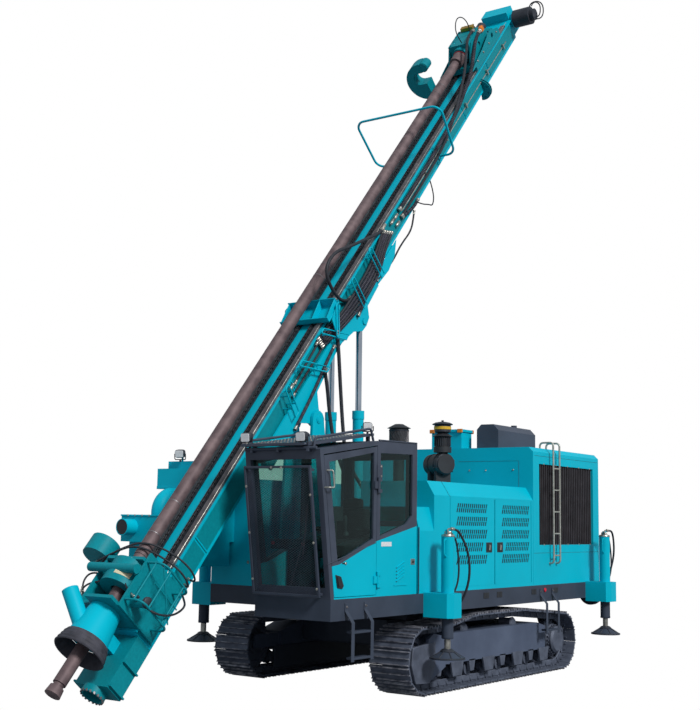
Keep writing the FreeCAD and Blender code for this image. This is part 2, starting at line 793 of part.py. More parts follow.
def cab_fittings():
    """The mesh guard over the windscreen, the roof guard and the seat with its consoles."""
    lean_run = "cab_lean / (cab_brow - deck_top)"
    low, high = "deck_top + 20", "cab_brow - 190"
    standoff = "95"

    def edge(height, out):
        return f"cab_front - ({height} - deck_top) * {lean_run} - {out}"

    def guard_sheet(inset, near, far, name):
        return prism("yz", [
            (edge(f"({low} + {inset})", far), f"{low} + {inset}"),
            (edge(f"({low} + {inset})", near), f"{low} + {inset}"),
            (edge(f"({high} - {inset})", near), f"{high} - {inset}"),
            (edge(f"({high} - {inset})", far), f"{high} - {inset}"),
        ], (f"cab_inner + 35 + {inset}", f"half_width - 95 - {inset}"), name)

    rim = cut(guard_sheet("0", "60", standoff, "guard_rim"), guard_sheet("45", "40", "120", "guard_hole"))
    sheet_mesh = guard_sheet("45", "76", "80", "guard_mesh")
    stays = []
    for height in ("deck_top + 60", "cab_brow - 240"):
        for place in ("cab_inner + 45", "half_width - 135"):
            stays.append(block((place, f"{place} + 30"),
                               (edge(f"({height})", "64"), edge(f"({height})", "4.8")),
                               (height, f"{height} + 30"), "guard_stay"))
    keep("windscreen_guard", fuse(rim, sheet_mesh, *stays))

    top = [
        ("cab_front - cab_lean - 77", "cab_brow + 45"),
        ("cab_front - cab_lean + 20", "cab_brow + 45"),
        ("cab_post + 180", "cab_post_top + 80"),
        ("cab_post + 180", "cab_post_top + 110"),
        ("cab_front - cab_lean - 77", "cab_brow + 75"),
    ]
    plate = prism("yz", top, ("cab_inner", "half_width - 180"), "roof_plate")
    posts = []
    for place, foot, head in (
        ("cab_front - cab_lean + 70", "cab_brow + 5", "cab_brow + 70"),
        ("cab_post + 110", "cab_post_top - 10", "cab_post_top + 85"),
    ):
        for across in ("cab_inner + 60", "half_width - 260"):
            posts.append(block((across, f"{across} + 40"), (place, f"{place} + 40"), (foot, head), "roof_post"))
    roof = prism("yz", cab_outline("0"), ("cab_inner - 10", "half_width + 10"), "roof_trim")
    keep("roof_guard", cut(fuse(plate, *posts), roof))

    middle = "(cab_inner + half_width) / 2"
    floor = "deck_top + cab_wall"
    base = block((f"{middle} - 210", f"{middle} + 210"), ("-3260", "-2860"), (floor, f"{floor} + 330"), "seat_base")
    cushion = block((f"{middle} - 260", f"{middle} + 260"), ("-3390", "-2850"),
                    (f"{floor} + 330", f"{floor} + 470"), "seat_cushion")
    back = prism("yz", [
        ("-2980", f"{floor} + 470"),
        ("-2860", f"{floor} + 1150"),
        ("-2740", f"{floor} + 1150"),
        ("-2840", f"{floor} + 470"),
    ], (f"{middle} - 250", f"{middle} + 250"), "seat_back")
    keep("operator_seat", fuse(base, cushion, back))
    consoles = []
    for across in (f"{middle} - 400", f"{middle} + 270"):
        consoles.append(prism("yz", [
            ("-3640", floor),
            ("-3640", f"{floor} + 560"),
            ("-2900", f"{floor} + 700"),
            ("-2900", floor),
        ], (across, f"{across} + 125"), "console"))
    keep("control_consoles", gather(*consoles))


# ---- side bays, hood and what stands on them -------------------------------------------

def bay_section(inner, inset):
    """A side bay seen from the front, drawn in by an inset."""
    return [
        (f"{inner} + {inset}", f"deck_top + {inset}"),
        (f"half_width - {inset}", f"deck_top + {inset}"),
        (f"half_width - {inset}", f"bay_side_top - {inset} / 2"),
        (f"half_width - bay_chamfer - {inset} / 2", f"bay_top - {inset}"),
        (f"{inner} + {inset}", f"bay_top - {inset}"),
    ]


def bay_door_cut(low, high, name):
    return block(("half_width - bay_wall - 5", "half_width + 10"), (low, high),
                 ("deck_top + 55", "bay_side_top - 20"), name)


# Each bay door turns on two short pins, a little way in from its outer corner.
PIVOT_IN = "8"
BAY_PIVOTS = ("bay_door_front + door_gap + 8", "hood_front - 65 - door_gap - 8")
BAY_DOOR_Z = ("deck_top + 55", "bay_side_top - 20")


def filler_section(inner, inset):
    """The low panel between the cab and the left bay, with its top leaning inwards."""
    return [
        (f"{inner} + {inset}", f"deck_top + {inset}"),
        (f"half_width - {inset}", f"deck_top + {inset}"),
        (f"half_width - {inset}", f"filler_low - {inset} / 4"),
        (f"half_width - 80 - {inset}", f"filler_high - {inset}"),
        (f"{inner} + {inset}", f"filler_high - {inset}"),
    ]


def side_bay(inner_face, front, name):
    """A hollow service bay beside the mast tower, with two door openings in its outer wall."""
    outer = prism("xz", bay_section(inner_face, "0"), (front, "hood_front - 5"), name)
    inner = prism("xz", bay_section(inner_face, "bay_wall"),
                  (f"{front} + bay_wall", "hood_front - 5 - bay_wall"), "bay_inside")
    solids, rooms = [outer], [inner]
    if front == "bay_front":
        solids.append(prism("xz", filler_section(inner_face, "0"), ("cab_rear + 60", f"{front} + bay_wall"), "filler"))
        rooms.append(prism("xz", filler_section(inner_face, "bay_wall"),
                           ("cab_rear + 60 + bay_wall", f"{front} + bay_wall + 1"), "filler_inside"))
    doors = bay_door_cut("bay_door_front", "hood_front - 65", "bay_door_cut")
    sockets = [
        drum("z", "pivot_radius + slide_gap", (f"{BAY_DOOR_Z[0]} - 13", f"{BAY_DOOR_Z[1]} + 13"),
             (f"half_width - {PIVOT_IN}", place), "pivot_socket")
        for place in BAY_PIVOTS
    ]
    body = fuse(*solids) if len(solids) > 1 else outer
    return cut(body, *rooms, doors, *sockets)


def bay_door(low, high, pivot, name):
    """A door as thick as the bay's wall, with a pivot pin at its top and its foot."""
    slab = block(("half_width - bay_wall", "half_width"), (f"{low} + door_gap", f"{high} - door_gap"),
                 (f"{BAY_DOOR_Z[0]} + door_gap", f"{BAY_DOOR_Z[1]} - door_gap"), name)
    pin = drum("z", "pivot_radius", (f"{BAY_DOOR_Z[0]} - 12", f"{BAY_DOOR_Z[1]} + 12"),
               (f"half_width - {PIVOT_IN}", pivot), "pivot_pin")
    return fuse(slab, pin)


def bays():
    doors = (("front", "bay_door_front", "bay_door_split", BAY_PIVOTS[0]),
             ("rear", "bay_door_split", "hood_front - 65", BAY_PIVOTS[1]))
    keep("left_bay", side_bay("bay_inner", "bay_front", "bay_shell"))
    keep("right_bay", mirrored(side_bay("bay_inner_right", "cab_rear + 60", "bay_shell")))
    for label, low, high, pivot in doors:
        keep(f"left_bay_door_{label}", bay_door(low, high, pivot, "bay_door"))
        keep(f"right_bay_door_{label}", mirrored(bay_door(low, high, pivot, "bay_door")))


def hood_section(inset):
    """The tall hood seen from the front, with its two chamfered top edges."""
    left = [
        (f"half_width - {inset}", f"deck_top + {inset}"),
        (f"half_width - {inset}", f"hood_top - hood_chamfer - {inset} / 2"),
        (f"half_width - hood_chamfer - {inset} / 2", f"hood_top - {inset}"),
    ]
    right = [(f"-({across})", up) for across, up in reversed(left)]
    return left + right


def grille_cut(side):
    low, high = ("half_width - hood_wall - 5", "half_width + 10")
    if side < 0:
        low, high = (f"-({high})", f"-({low})")
    return block((low, high), ("grille_front", "grille_rear"), ("grille_low", "grille_high"), "grille_cut")


def hood():
    outer = prism("xz", hood_section("0"), ("hood_front", "hood_rear"), "hood_outer")
    inner = prism("xz", hood_section("hood_wall"), ("hood_front + hood_wall", "hood_rear - hood_wall"), "hood_inside")
    back = block(("-1150", "1150"), ("hood_rear - hood_wall - 5", "hood_rear + 10"),
                 ("deck_top + 700", "hood_top - 260"), "rear_grille_cut")
    keep("engine_hood", cut(outer, inner, grille_cut(1), grille_cut(-1), back))
    cores = []
    for side in (1, -1):
        near, far = "half_width - hood_wall - 25", "half_width - hood_wall"
        if side < 0:
            near, far = (f"-({far})", f"-({near})")
        cores.append(block((near, far), ("grille_front - 30", "grille_rear + 30"),
                           ("grille_low - 30", "grille_high + 30"), "core"))
    cores.append(block(("-1180", "1180"), ("hood_rear - hood_wall - 25", "hood_rear - hood_wall"),
                       ("deck_top + 670", "hood_top - 230"), "rear_core"))
    keep("radiator_grilles", gather(*cores))
    keep("engine_block", block(("-560", "560"), ("hood_front + 180", "hood_rear - 430"),
                               ("deck_top + hood_wall", "deck_top + 1250"), "engine"))
    box = prism("xz", [
        ("460", "hood_top"),
        ("845", "hood_top"),
        ("845", "hood_top + 300"),
        ("755", "hood_top + 395"),
        ("535", "hood_top + 395"),
        ("460", "hood_top + 315"),
    ], ("hood_front + 305", "hood_front + 1595"), "silencer_case")
    outlet = drum("z", "48", ("hood_top + 390", "hood_top + 440"), ("640", "hood_front + 1230"), "outlet")
    keep("silencer_box", fuse(box, outlet))


def tube_path(points, radius):
    """A round tube along a polyline, with a ball at each corner."""
    solids = []
    for start, end in zip(points, points[1:]):
        run = end.sub(start)
        solids.append(Part.makeCylinder(radius, run.Length, start, run))
    for corner in points[1:-1]:
        solids.append(Part.makeSphere(radius, corner))
    return solids[0].fuse(solids[1:]).removeSplitter()


def bent_tube(points, radius, bend):
    """A round tube along a polyline, with every corner bent to a radius."""
    edges, start = [], points[0]
    for before, corner, after in zip(points, points[1:], points[2:]):
        back = before.sub(corner).normalize()
        ahead = after.sub(corner).normalize()
        half = back.getAngle(ahead) / 2
        reach = bend / math.tan(half)
        first, last = corner + back * reach, corner + ahead * reach
        middle = corner + (back + ahead).normalize() * (bend / math.sin(half) - bend)
        edges += [Part.makeLine(start, first), Part.Arc(first, middle, last).toShape()]
        start = last
    edges.append(Part.makeLine(start, points[-1]))
    ring = Part.Wire([Part.makeCircle(radius, points[0], points[1].sub(points[0]))])
    return Part.Wire(edges).makePipeShell([ring], True, True)


def hood_ladder():
    """The bent-tube ladder that hooks over the hood's left edge."""
    rail, radius = S.half_width + 75, 15
    top = S.hood_top
    solids = []
    places = (1590, 1810)
    for y in places:
        solids.append(bent_tube([
            FreeCAD.Vector(S.half_width, y, 1620),
            FreeCAD.Vector(rail, y, 1620),
            FreeCAD.Vector(rail, y, top + 95),
            FreeCAD.Vector(rail - 228, y, top + 95),
            FreeCAD.Vector(rail - 228, y, top),
        ], radius, 55))
    for index in range(5):
        z = 1740 + index * 333
        start = FreeCAD.Vector(rail, places[0], z)
        solids.append(Part.makeCylinder(radius - 3, places[1] - places[0], start, FreeCAD.Vector(0, 1, 0)))
    keep("hood_ladder", shaped(solids[0].fuse(solids[1:]).removeSplitter(), "ladder"))


def intake():
    """The engine's air cleaner on the left bay, a second rain-capped one and the cooler box."""
    top = S.bay_top
    lid = FreeCAD.Vector(890, -350, top + 300)
    way = FreeCAD.Vector(0.866, -0.5, 0)
    back = lid - way * 400
    body = Part.makeCylinder(155, 400, back, way)
    cover = Part.makeCylinder(138, 28, lid, way)
    feet = []
    for share in (0.25, 0.8):
        spot = back + way * (400 * share)
        foot = Part.makeBox(50, 240, 190, FreeCAD.Vector(-25, -120, 0))
        foot.Placement = FreeCAD.Placement(FreeCAD.Vector(spot.x, spot.y, top),
                                           FreeCAD.Rotation(FreeCAD.Vector(0, 0, 1), -30))
        feet.append(foot)
    up = FreeCAD.Vector(0, 0, 1)
    spot = lid - way * 90
    level = lambda height: FreeCAD.Vector(spot.x, spot.y, top + height)
    stack = Part.makeCylinder(80, 200, level(300), up)
    bowl = Part.makeCylinder(131, 80, level(470), up)
    column = Part.makeCylinder(108, 170, level(545), up)
    hat = Part.makeCone(147, 80, 45, level(705), up)
    dome = Part.makeCone(80, 22, 60, level(745), up)
    first = body.fuse([cover, *feet, stack, bowl, column, hat, dome])
    place = ("500", "-1000")
    pipe = drum("z", "80", ("bay_top", "bay_top + 560"), place, "second_stack")
    bowl_two = drum("z", "138", ("bay_top + 550", "bay_top + 785"), place, "second_bowl")
    hat_two = cone("z", ("172", "60"), ("bay_top + 785", "bay_top + 845"), place, "second_hat")
    keep("air_cleaners", gather(shaped(first, "cleaner"), fuse(pipe, bowl_two, hat_two)))
    case = block(("-265", "285"), ("1165", "1485"), ("hood_top", "hood_top + 310"), "cooler_case")
    rim = block(("-285", "305"), ("1145", "1505"), ("hood_top + 275", "hood_top + 315"), "cooler_rim")
    keep("cooler_box", fuse(case, rim))


def front_tank():
    keep("front_tank", block(("-half_width", "-tank_inner"), ("deck_front + 5", "cab_rear + 55"),
                             ("deck_top", "bay_top"), "front_tank"))


def dust_collector():
    """The cyclone and filter boxes that hang in front of the tank on the right."""
    x = ("-dust_outer", "-dust_inner")
    face = "deck_front + 5"
    lower = block(x, ("dust_front", "-3300"), ("1890", "2240"), "dust_header")
    under = block((x[0], x[1]), ("dust_front + 160", f"{face} - 90"), ("1560", "1890"), "dust_settler")
    column = block((x[0], x[1]), ("-3300", f"{face}"), ("1890", "2600"), "dust_column")
    upper = block(x, ("-3490", f"{face}"), ("2600", "2880"), "dust_filter")
    shelf = block(("-dust_outer", "-dust_inner"), ("-3280", f"{face}"), ("2880", "2990"), "dust_shelf")
    stub = drum("y", "105", ("dust_front - 190", "dust_front"), ("-1640", "2080"), "dust_stub")
    bore = drum("y", "96", ("dust_front - 191", "dust_front + 60"), ("-1640", "2080"), "dust_stub_bore")
    elbow = elbow_pipe(-1500, -3780, 2240, -3490, 2500, 115)
    keep("dust_collector", cut(fuse(lower, under, column, upper, shelf, stub, elbow), bore))


def elbow_pipe(x, y, z, y_end, z_end, radius):
    """A duct that rises from a flat top and turns to the rear."""
    bend = 220
    low = FreeCAD.Vector(x, y, z)
    path = Part.Wire([
        Part.LineSegment(low, FreeCAD.Vector(x, y, z_end - bend)).toShape(),
        Part.Arc(FreeCAD.Vector(x, y, z_end - bend),
                 FreeCAD.Vector(x, y + bend * (1 - math.cos(math.pi / 4)), z_end - bend * (1 - math.sin(math.pi / 4))),
                 FreeCAD.Vector(x, y + bend, z_end)).toShape(),
        Part.LineSegment(FreeCAD.Vector(x, y + bend, z_end), FreeCAD.Vector(x, y_end + 200, z_end)).toShape(),
    ])
    ring = Part.Wire([Part.makeCircle(radius, low, FreeCAD.Vector(0, 0, 1))])
    return shaped(path.makePipeShell([ring], True, True), "elbow")


# ---- mast tower and lift cylinders -----------------------------------------------------

def tower():
    """Two cheeks that carry the mast's tilt pin, and the ears under the lift cylinders."""
    gap = "lug_inner + lug_thick + run_gap"
    outline = [
        ("pivot_y - 130", "pivot_z - 60"),
        ("pivot_y - 125", "pivot_z + 35"),
        ("pivot_y - 92", "pivot_z + 92"),
        ("pivot_y - 35", "pivot_z + 125"),
        ("pivot_y + 35", "pivot_z + 125"),
        ("pivot_y + 92", "pivot_z + 92"),
        ("pivot_y + 125", "pivot_z + 35"),
        ("pivot_y + 135", "pivot_z - 60"),
        ("pivot_y + 330", "deck_top + 1100"),
        ("pivot_y + 760", "deck_top"),
        ("pivot_y - 240", "deck_top"),
    ]
    parts = []
    for side in (-1, 1):
        inner = f"mast_x + {side} * ({gap})"
        outer = f"mast_x + {side} * ({gap} + 40)"
        span = (inner, outer) if side > 0 else (outer, inner)
        parts.append(prism("yz", outline, span, "tower_cheek"))
    across = (f"mast_x - ({gap})", f"mast_x + ({gap})")
    wide = ("mast_x - 340", "mast_x + 340")
    parts.append(block(across, ("pivot_y + 60", "pivot_y + 250"), ("deck_top", "deck_top + 1250"), "tower_web"))
    parts.append(block(wide, ("pivot_y + 250", "cylinder_base_y + 160"), ("deck_top", "deck_top + 60"), "tower_foot"))
    for side in (-1, 1):
        for edge in (-1, 1):
            inner = f"mast_x + {side} * cylinder_x + {edge} * (eye_width / 2 + run_gap + 15)"
            parts.append(prism("yz", [
                ("cylinder_base_y - 140", "deck_top"),
                ("cylinder_base_y - 90", "cylinder_base_z + 60"),
                ("cylinder_base_y", "cylinder_base_z + 100"),
                ("cylinder_base_y + 90", "cylinder_base_z + 60"),
                ("cylinder_base_y + 140", "deck_top"),
            ], (f"{inner} - 15", f"{inner} + 15"), "base_ear"))
        pin_x = f"mast_x + {side} * cylinder_x"
        parts.append(drum("x", "30", (f"{pin_x} - eye_width / 2 - run_gap", f"{pin_x} + eye_width / 2 + run_gap"),
                          ("cylinder_base_y", "cylinder_base_z"), "base_pin"))
    pin = drum("x", "pin_size / 2", (f"mast_x - ({gap} + 58)", f"mast_x + ({gap} + 58)"), ("pivot_y", "pivot_z"), "tilt_pin")
    head = drum("x", "48", (f"mast_x + {gap} + 40", f"mast_x + {gap} + 52"), ("pivot_y", "pivot_z"), "pin_head")
    tail = drum("x", "48", (f"mast_x - ({gap}) - 52", f"mast_x - ({gap}) - 40"), ("pivot_y", "pivot_z"), "pin_head")
    keep("mast_tower", fuse(*parts, pin, head, tail))


def lift_line():
    """The base pin, the rod's eye and the direction between them, in the machine's frame."""
    turn = math.radians(S.mast_tilt)
    up, out = S.eye_station, S.eye_depth
    eye = (S.pivot_y + up * math.sin(turn) - out * math.cos(turn),
           S.pivot_z + up * math.cos(turn) + out * math.sin(turn))
    base = (S.cylinder_base_y, S.cylinder_base_z)
    length = math.hypot(eye[0] - base[0], eye[1] - base[1])
    return base, eye, length


def lift_cylinders():
    base, eye, length = lift_line()
    lean_angle = math.degrees(math.atan2(eye[0] - base[0], eye[1] - base[1]))
    barrels, rods = [], []
    for side in (-1, 1):
        x = S.mast_x + side * S.cylinder_x
        half = S.eye_width / 2
        turn = FreeCAD.Placement(FreeCAD.Vector(x, base[0], base[1]),
                                 FreeCAD.Rotation(FreeCAD.Vector(1, 0, 0), -lean_angle))
        tube = Part.makeCylinder(S.barrel_radius, S.barrel_length - 108, FreeCAD.Vector(0, 0, 108))
        neck = Part.makeBox(2 * half, 110, 115, FreeCAD.Vector(-half, -55, 0))
        lug = Part.makeCylinder(85, 2 * half, FreeCAD.Vector(-half, 0, 0), FreeCAD.Vector(1, 0, 0))
        bore = Part.makeCylinder(S.lift_rod + S.slide_gap, S.barrel_length, FreeCAD.Vector(0, 0, 150))
        hole = Part.makeCylinder(30 + S.slide_gap, 2 * half + 2, FreeCAD.Vector(-half - 1, 0, 0),
                                 FreeCAD.Vector(1, 0, 0))
        gland = Part.makeCylinder(S.barrel_radius + 8, 120, FreeCAD.Vector(0, 0, S.barrel_length - 120))
        barrel = tube.fuse([lug, neck, gland]).cut(bore.fuse(hole))
        barrel.Placement = turn
        barrels.append(shaped(barrel, "lift_barrel"))
        rod = Part.makeCylinder(S.lift_rod, S.rod_length, FreeCAD.Vector(0, 0, length - S.rod_length))
        ring = Part.makeCylinder(S.eye_radius, 2 * half, FreeCAD.Vector(-half, 0, length), FreeCAD.Vector(1, 0, 0))
        rod = rod.fuse(ring)
        rod.Placement = turn
        rods.append(shaped(rod, "lift_rod"))
    keep("lift_barrels", gather(*barrels))
    keep("lift_rods", gather(*rods))


# ---- mast ------------------------------------------------------------------------------

def depth(near, far):
    """A span of depths towards the drill string, as a span along Y."""
    return f"-({far})", f"-({near})"


def mast_carrier():
    """The cradle that tilts on the tower's pin and guides the mast as it slides.

    Two outer cheeks hold the mast and the lift rods' eyes. Two inner lugs, between the
    tower's cheeks, turn on the pin.
    """
    cheek = [
        ("-(mast_back + 120)", "-1300"),
        ("-360", "-1300"),
        ("-360", "150"),
        ("-410", "670"),
        ("-440", "1060"),
        ("-(eye_depth + 70)", "1450"),
        ("-(eye_depth - 70)", "1620"),
        ("-(eye_depth - 85)", "1760"),
        ("-(eye_depth - 50)", "1900"),
        ("-(eye_depth + 90)", "2000"),
        ("-380", "2450"),
        ("-(mast_back + 120)", "2450"),
    ]
    lug = [
        ("105", "-60"),
        ("120", "0"),
        ("105", "60"),
        ("60", "105"),
        ("-60", "170"),
        ("-380", "430"),
        ("-(mast_back - 10)", "430"),
        ("-(mast_back - 10)", "-430"),
        ("-380", "-430"),
        ("-60", "-130"),
        ("60", "-105"),
    ]
    parts = []
    for side in (-1, 1):
        for outline, near, far, name in (
            (cheek, "cheek_inner", "cheek_inner + cheek_thick", "carrier_cheek"),
            (lug, "lug_inner", "lug_inner + lug_thick", "carrier_lug"),
        ):
            inner, outer = f"{side} * {near}", f"{side} * ({far})"
            span = (inner, outer) if side > 0 else (outer, inner)
            parts.append(prism("yz", outline, span, name))
    width = ("-cheek_inner", "cheek_inner")
    for low, high in (("-1300", "-950"), ("-430", "430"), ("900", "1150"), ("2250", "2450")):
        parts.append(block(width, depth("mast_back - 100", "mast_back - 10"), (low, high), "carrier_web"))
    for side in (-1, 1):
        inner, outer = f"{side} * (mast_half + pad_gap)", f"{side} * cheek_inner"
        span = (inner, outer) if side > 0 else (outer, inner)
        for low, high in (("-1280", "-1030"), ("2180", "2430")):
            parts.append(block(span, depth("mast_back + 10", "mast_back + 110"), (low, high), "guide_pad"))
        near, far = f"{side} * (cheek_inner + 10)", f"{side} * (cheek_inner + cheek_thick + 18)"
        span = (near, far) if side > 0 else (far, near)
        parts.append(drum("x", "46", span, ("-eye_depth", "eye_station"), "eye_pin_head"))
    body = fuse(*parts)
    hole = drum("x", "pin_size / 2 + slide_gap", ("-lug_inner - 60", "lug_inner + 60"), ("0", "0"), "pin_bore")
    lean("mast_carrier", cut(body, hole))


def mast_beam():
    """The long box that the drill's head runs on, and its shallower foot."""
    width = ("-mast_half", "mast_half")
    hollow = ("-mast_half + mast_wall", "mast_half - mast_wall")
    shell = block(width, depth("mast_back", "mast_face - 20"), ("mast_step", "mast_top"), "mast_box")
    flange = block(("-flange_half", "flange_half"), depth("mast_face - 20", "mast_face"), ("mast_step", "mast_top"), "flange")
    inside = block(hollow, depth("mast_back + mast_wall", "mast_face - 20"), ("mast_step + 20", "mast_top - 20"), "mast_inside")
    lean("mast_beam", cut(fuse(shell, flange), inside))
    foot = block(("-mast_half", "mast_half"), depth("mast_back", "mast_face - 90"), ("mast_foot", "mast_step"), "foot_box")
    room = block(hollow, depth("mast_back + mast_wall", "mast_face - 90 - mast_wall"),
                 ("mast_foot + 20", "mast_step - 20"), "foot_room")
    ribs = []
    for side in (-1, 1):
        low, high = (f"{side} * mast_half", f"{side} * flange_half")
        span = (low, high) if side > 0 else (high, low)
        for station in ("mast_foot + 20", "mast_foot + 330"):
            ribs.append(block(span, depth("mast_back", "mast_face - 90"), (station, f"{station} + 20"), "foot_rib"))
    ring = drum("z", "145", ("mast_foot - 85", "mast_foot"), ("0", "-(mast_back + 165)"), "foot_ring")
    hole = drum("z", "115", ("mast_foot - 86", "mast_foot - 5"), ("0", "-(mast_back + 165)"), "foot_ring_hole")
    lean("mast_foot", cut(fuse(cut(foot, room), *ribs, ring), hole))


def rails_and_chains():
    rails, chains = [], []
    for side in (-1, 1):
        low, high = (f"{side} * rail_inner", f"{side} * rail_outer")
        span = (low, high) if side > 0 else (high, low)
        rails.append(block(span, depth("mast_face", "mast_face + rail_height"), ("-3350", "9300"), "rail"))
        middle = f"{side} * 120"
        chains.append(block((f"{middle} - 28", f"{middle} + 28"), depth("mast_face", "mast_face + 30"),
                            ("-3300", "9250"), "chain"))
    lean("slide_rails", gather(*rails))
    lean("feed_chains", gather(*chains))


def clamp_table():
    """The breakout clamps round the string, between two plates and two side cheeks."""
    hole = drum("z", "bit_radius + 10", ("-4400", "-3400"), ("0", "-string_depth"), "string_hole")
    plates = [
        block(("-290", "290"), depth("mast_face", "string_depth + 270"), ("-4220", "-4180"), "low_plate"),
        block(("-290", "290"), depth("mast_face", "string_depth + 180"), ("-3600", "-3560"), "high_plate"),
    ]
    cheeks = [
        block(("flange_half", "flange_half + 30"), depth("mast_face - 260", "string_depth + 150"),
              ("-4220", "-3480"), "left_cheek"),
        block(("-flange_half - 30", "-flange_half"), depth("mast_face - 260", "string_depth + 150"),
              ("-4220", "-3480"), "right_cheek"),
    ]
    ties = [block(("-flange_half", "flange_half"), depth("mast_face", "mast_face + 30"),
                  ("-4220", "-3480"), "tie_plate")]
    ring = drum("z", "245", ("-3930", "-3600"), ("0", "-string_depth"), "clamp_ring")
    rams = []
    for side in (-1, 1):
        low, high = (f"{side} * 200", f"{side} * 560")
        pair = (low, high) if side > 0 else (high, low)
        rams.append(drum("x", "62", pair, ("-string_depth", "-4060"), "clamp_ram"))
    rams.append(drum("x", "55", ("-430", "330"), ("-(string_depth + 210)", "-3760"), "breakout_ram"))
    notch = block(("-300", "-130"), depth("string_depth + 140", "string_depth + 280"), ("-4230", "-4170"), "notch")
    lean("clamp_table", cut(fuse(*plates, *cheeks, *ties, ring, *rams), hole, notch))


def clamp_guard():
    """The bent-tube cage over the clamps' hoses, on the mast's left side."""
    radius = 14
    place = lambda x, v, z: FreeCAD.Vector(x, -v, z)
    solids = []
    for station in (-4120, -3600):
        solids.append(bent_tube([
            place(330, 720, station), place(600, 720, station),
            place(600, 1280, station), place(330, 1280, station)], radius, 110))
    for x, v in ((470, 720), (600, 860), (600, 1140), (470, 1280)):
        solids.append(Part.makeCylinder(radius - 3, 520, place(x, v, -4120), FreeCAD.Vector(0, 0, 1)))
    lean("clamp_guard", shaped(solids[0].fuse(solids[1:]).removeSplitter(), "cage"))


def dust_hood():
    """The steel cone round the hammer, its suction stub and the rubber skirt below it."""
    centre = ("0", "-string_depth")
    outer = cone("z", ("245", "190"), ("-4620", "-4220"), centre, "cone_outer")
    inner = cone("z", ("237", "182"), ("-4621", "-4219"), centre, "cone_inner")
    start = FreeCAD.Vector(-80, -(S.string_depth + 120), -4500)
    way = FreeCAD.Vector(-0.51, -0.55, 0.66)
    stub = shaped(Part.makeCylinder(96, 440, start, way), "stub")
    stub_bore = shaped(Part.makeCylinder(88, 460, start, way), "stub_bore")
    tie = block(("-60", "60"), depth("mast_face - 90", "string_depth - 200"), ("-4520", "-4360"), "cone_tie")
    lean("dust_cone", cut(fuse(outer, stub, tie), inner, stub_bore))
    rim = cone("z", ("360", "262"), ("-4800", "-4620"), centre, "skirt_outer")
    lip = cone("z", ("345", "240"), ("-4801", "-4640"), centre, "skirt_inner")
    neck = drum("z", "bit_radius + 30", ("-4641", "-4600"), centre, "skirt_neck")
    lean("dust_skirt", cut(rim, lip, neck))


def guard_hoop():
    """The big bent hoop that the head and a waiting rod pass through."""
    station = S.hoop_station
    place = lambda x, v: FreeCAD.Vector(x, -v, station)
    tube = bent_tube([
        place(275, 620), place(570, 620), place(690, 1520),
        place(-930, 1520), place(-930, 620), place(-275, 620)], 19, 150)
    feet = [Part.makeBox(30, 90, 90, FreeCAD.Vector(x, -665, station - 45)) for x in (S.mast_half, -S.mast_half - 30)]
    lean("guard_hoop", shaped(tube.fuse(feet), "hoop"))


def rod_loader():
    """The hooked claw and the cup that hold a spare rod on the mast's right side."""
    axis = ("-claw_x", "-loader_depth")
    pocket = ("-claw_x - 85", "-(loader_depth + 70)")
    levels = ("7050", "7290")
    claw = cut(drum("z", "340", ("7060", "7280"), axis, "claw_disc"),
               block(("-claw_x + 28", "-claw_x + 400"), depth("loader_depth - 400", "loader_depth + 400"), levels, "claw_side"),
               drum("z", "105", levels, pocket, "claw_pocket"),
               block(("-claw_x - 85", "-claw_x + 60"), depth("loader_depth - 35", "loader_depth + 175"), levels, "claw_mouth"))
    arm = prism("xy", [
        ("-mast_half", "-540"),
        ("-mast_half", "-740"),
        ("-claw_x + 20", "-(loader_depth - 300)"),
        ("-claw_x - 200", "-(loader_depth - 250)"),
        ("-claw_x - 60", "-(loader_depth - 480)"),
    ], ("7110", "7230"), "claw_arm")
    axis = ("-cup_x", "-loader_depth")
    cup = drum("z", "190", ("-3520", "-3290"), axis, "cup_disc")
    cup_arm = prism("xy", [
        ("-mast_half", "-530"),
        ("-mast_half", "-690"),
        ("-cup_x + 150", "-(loader_depth - 110)"),
        ("-cup_x - 60", "-(loader_depth - 110)"),
        ("-cup_x + 20", "-(loader_depth - 420)"),
    ], ("-3440", "-3370"), "cup_arm")
    cup_room = drum("z", "168", ("-3490", "-3280"), axis, "cup_room")
    lean("rod_loader", gather(fuse(claw, arm), cut(fuse(cup, cup_arm), cup_room)))


def feed_drive():
    """The feed chains' gearbox on the mast's top end, with its motor pointing left."""
    box = block(("-mast_half", "mast_half"), depth("mast_back + 50", "mast_face + 150"), ("mast_top", "mast_top + 270"), "feed_box")
    flange = drum("x", "118", ("mast_half", "mast_half + 60"), ("-(mast_face - 70)", "mast_top + 125"), "feed_flange")
    lean("feed_gearbox", fuse(box, flange))
    motor = drum("x", "160", ("mast_half + 60", "mast_half + 380"), ("-(mast_face - 70)", "mast_top + 125"), "motor_case")
    cap = drum("x", "105", ("mast_half + 380", "mast_half + 460"), ("-(mast_face - 70)", "mast_top + 125"), "motor_cap")
    lean("feed_motor", fuse(motor, cap))


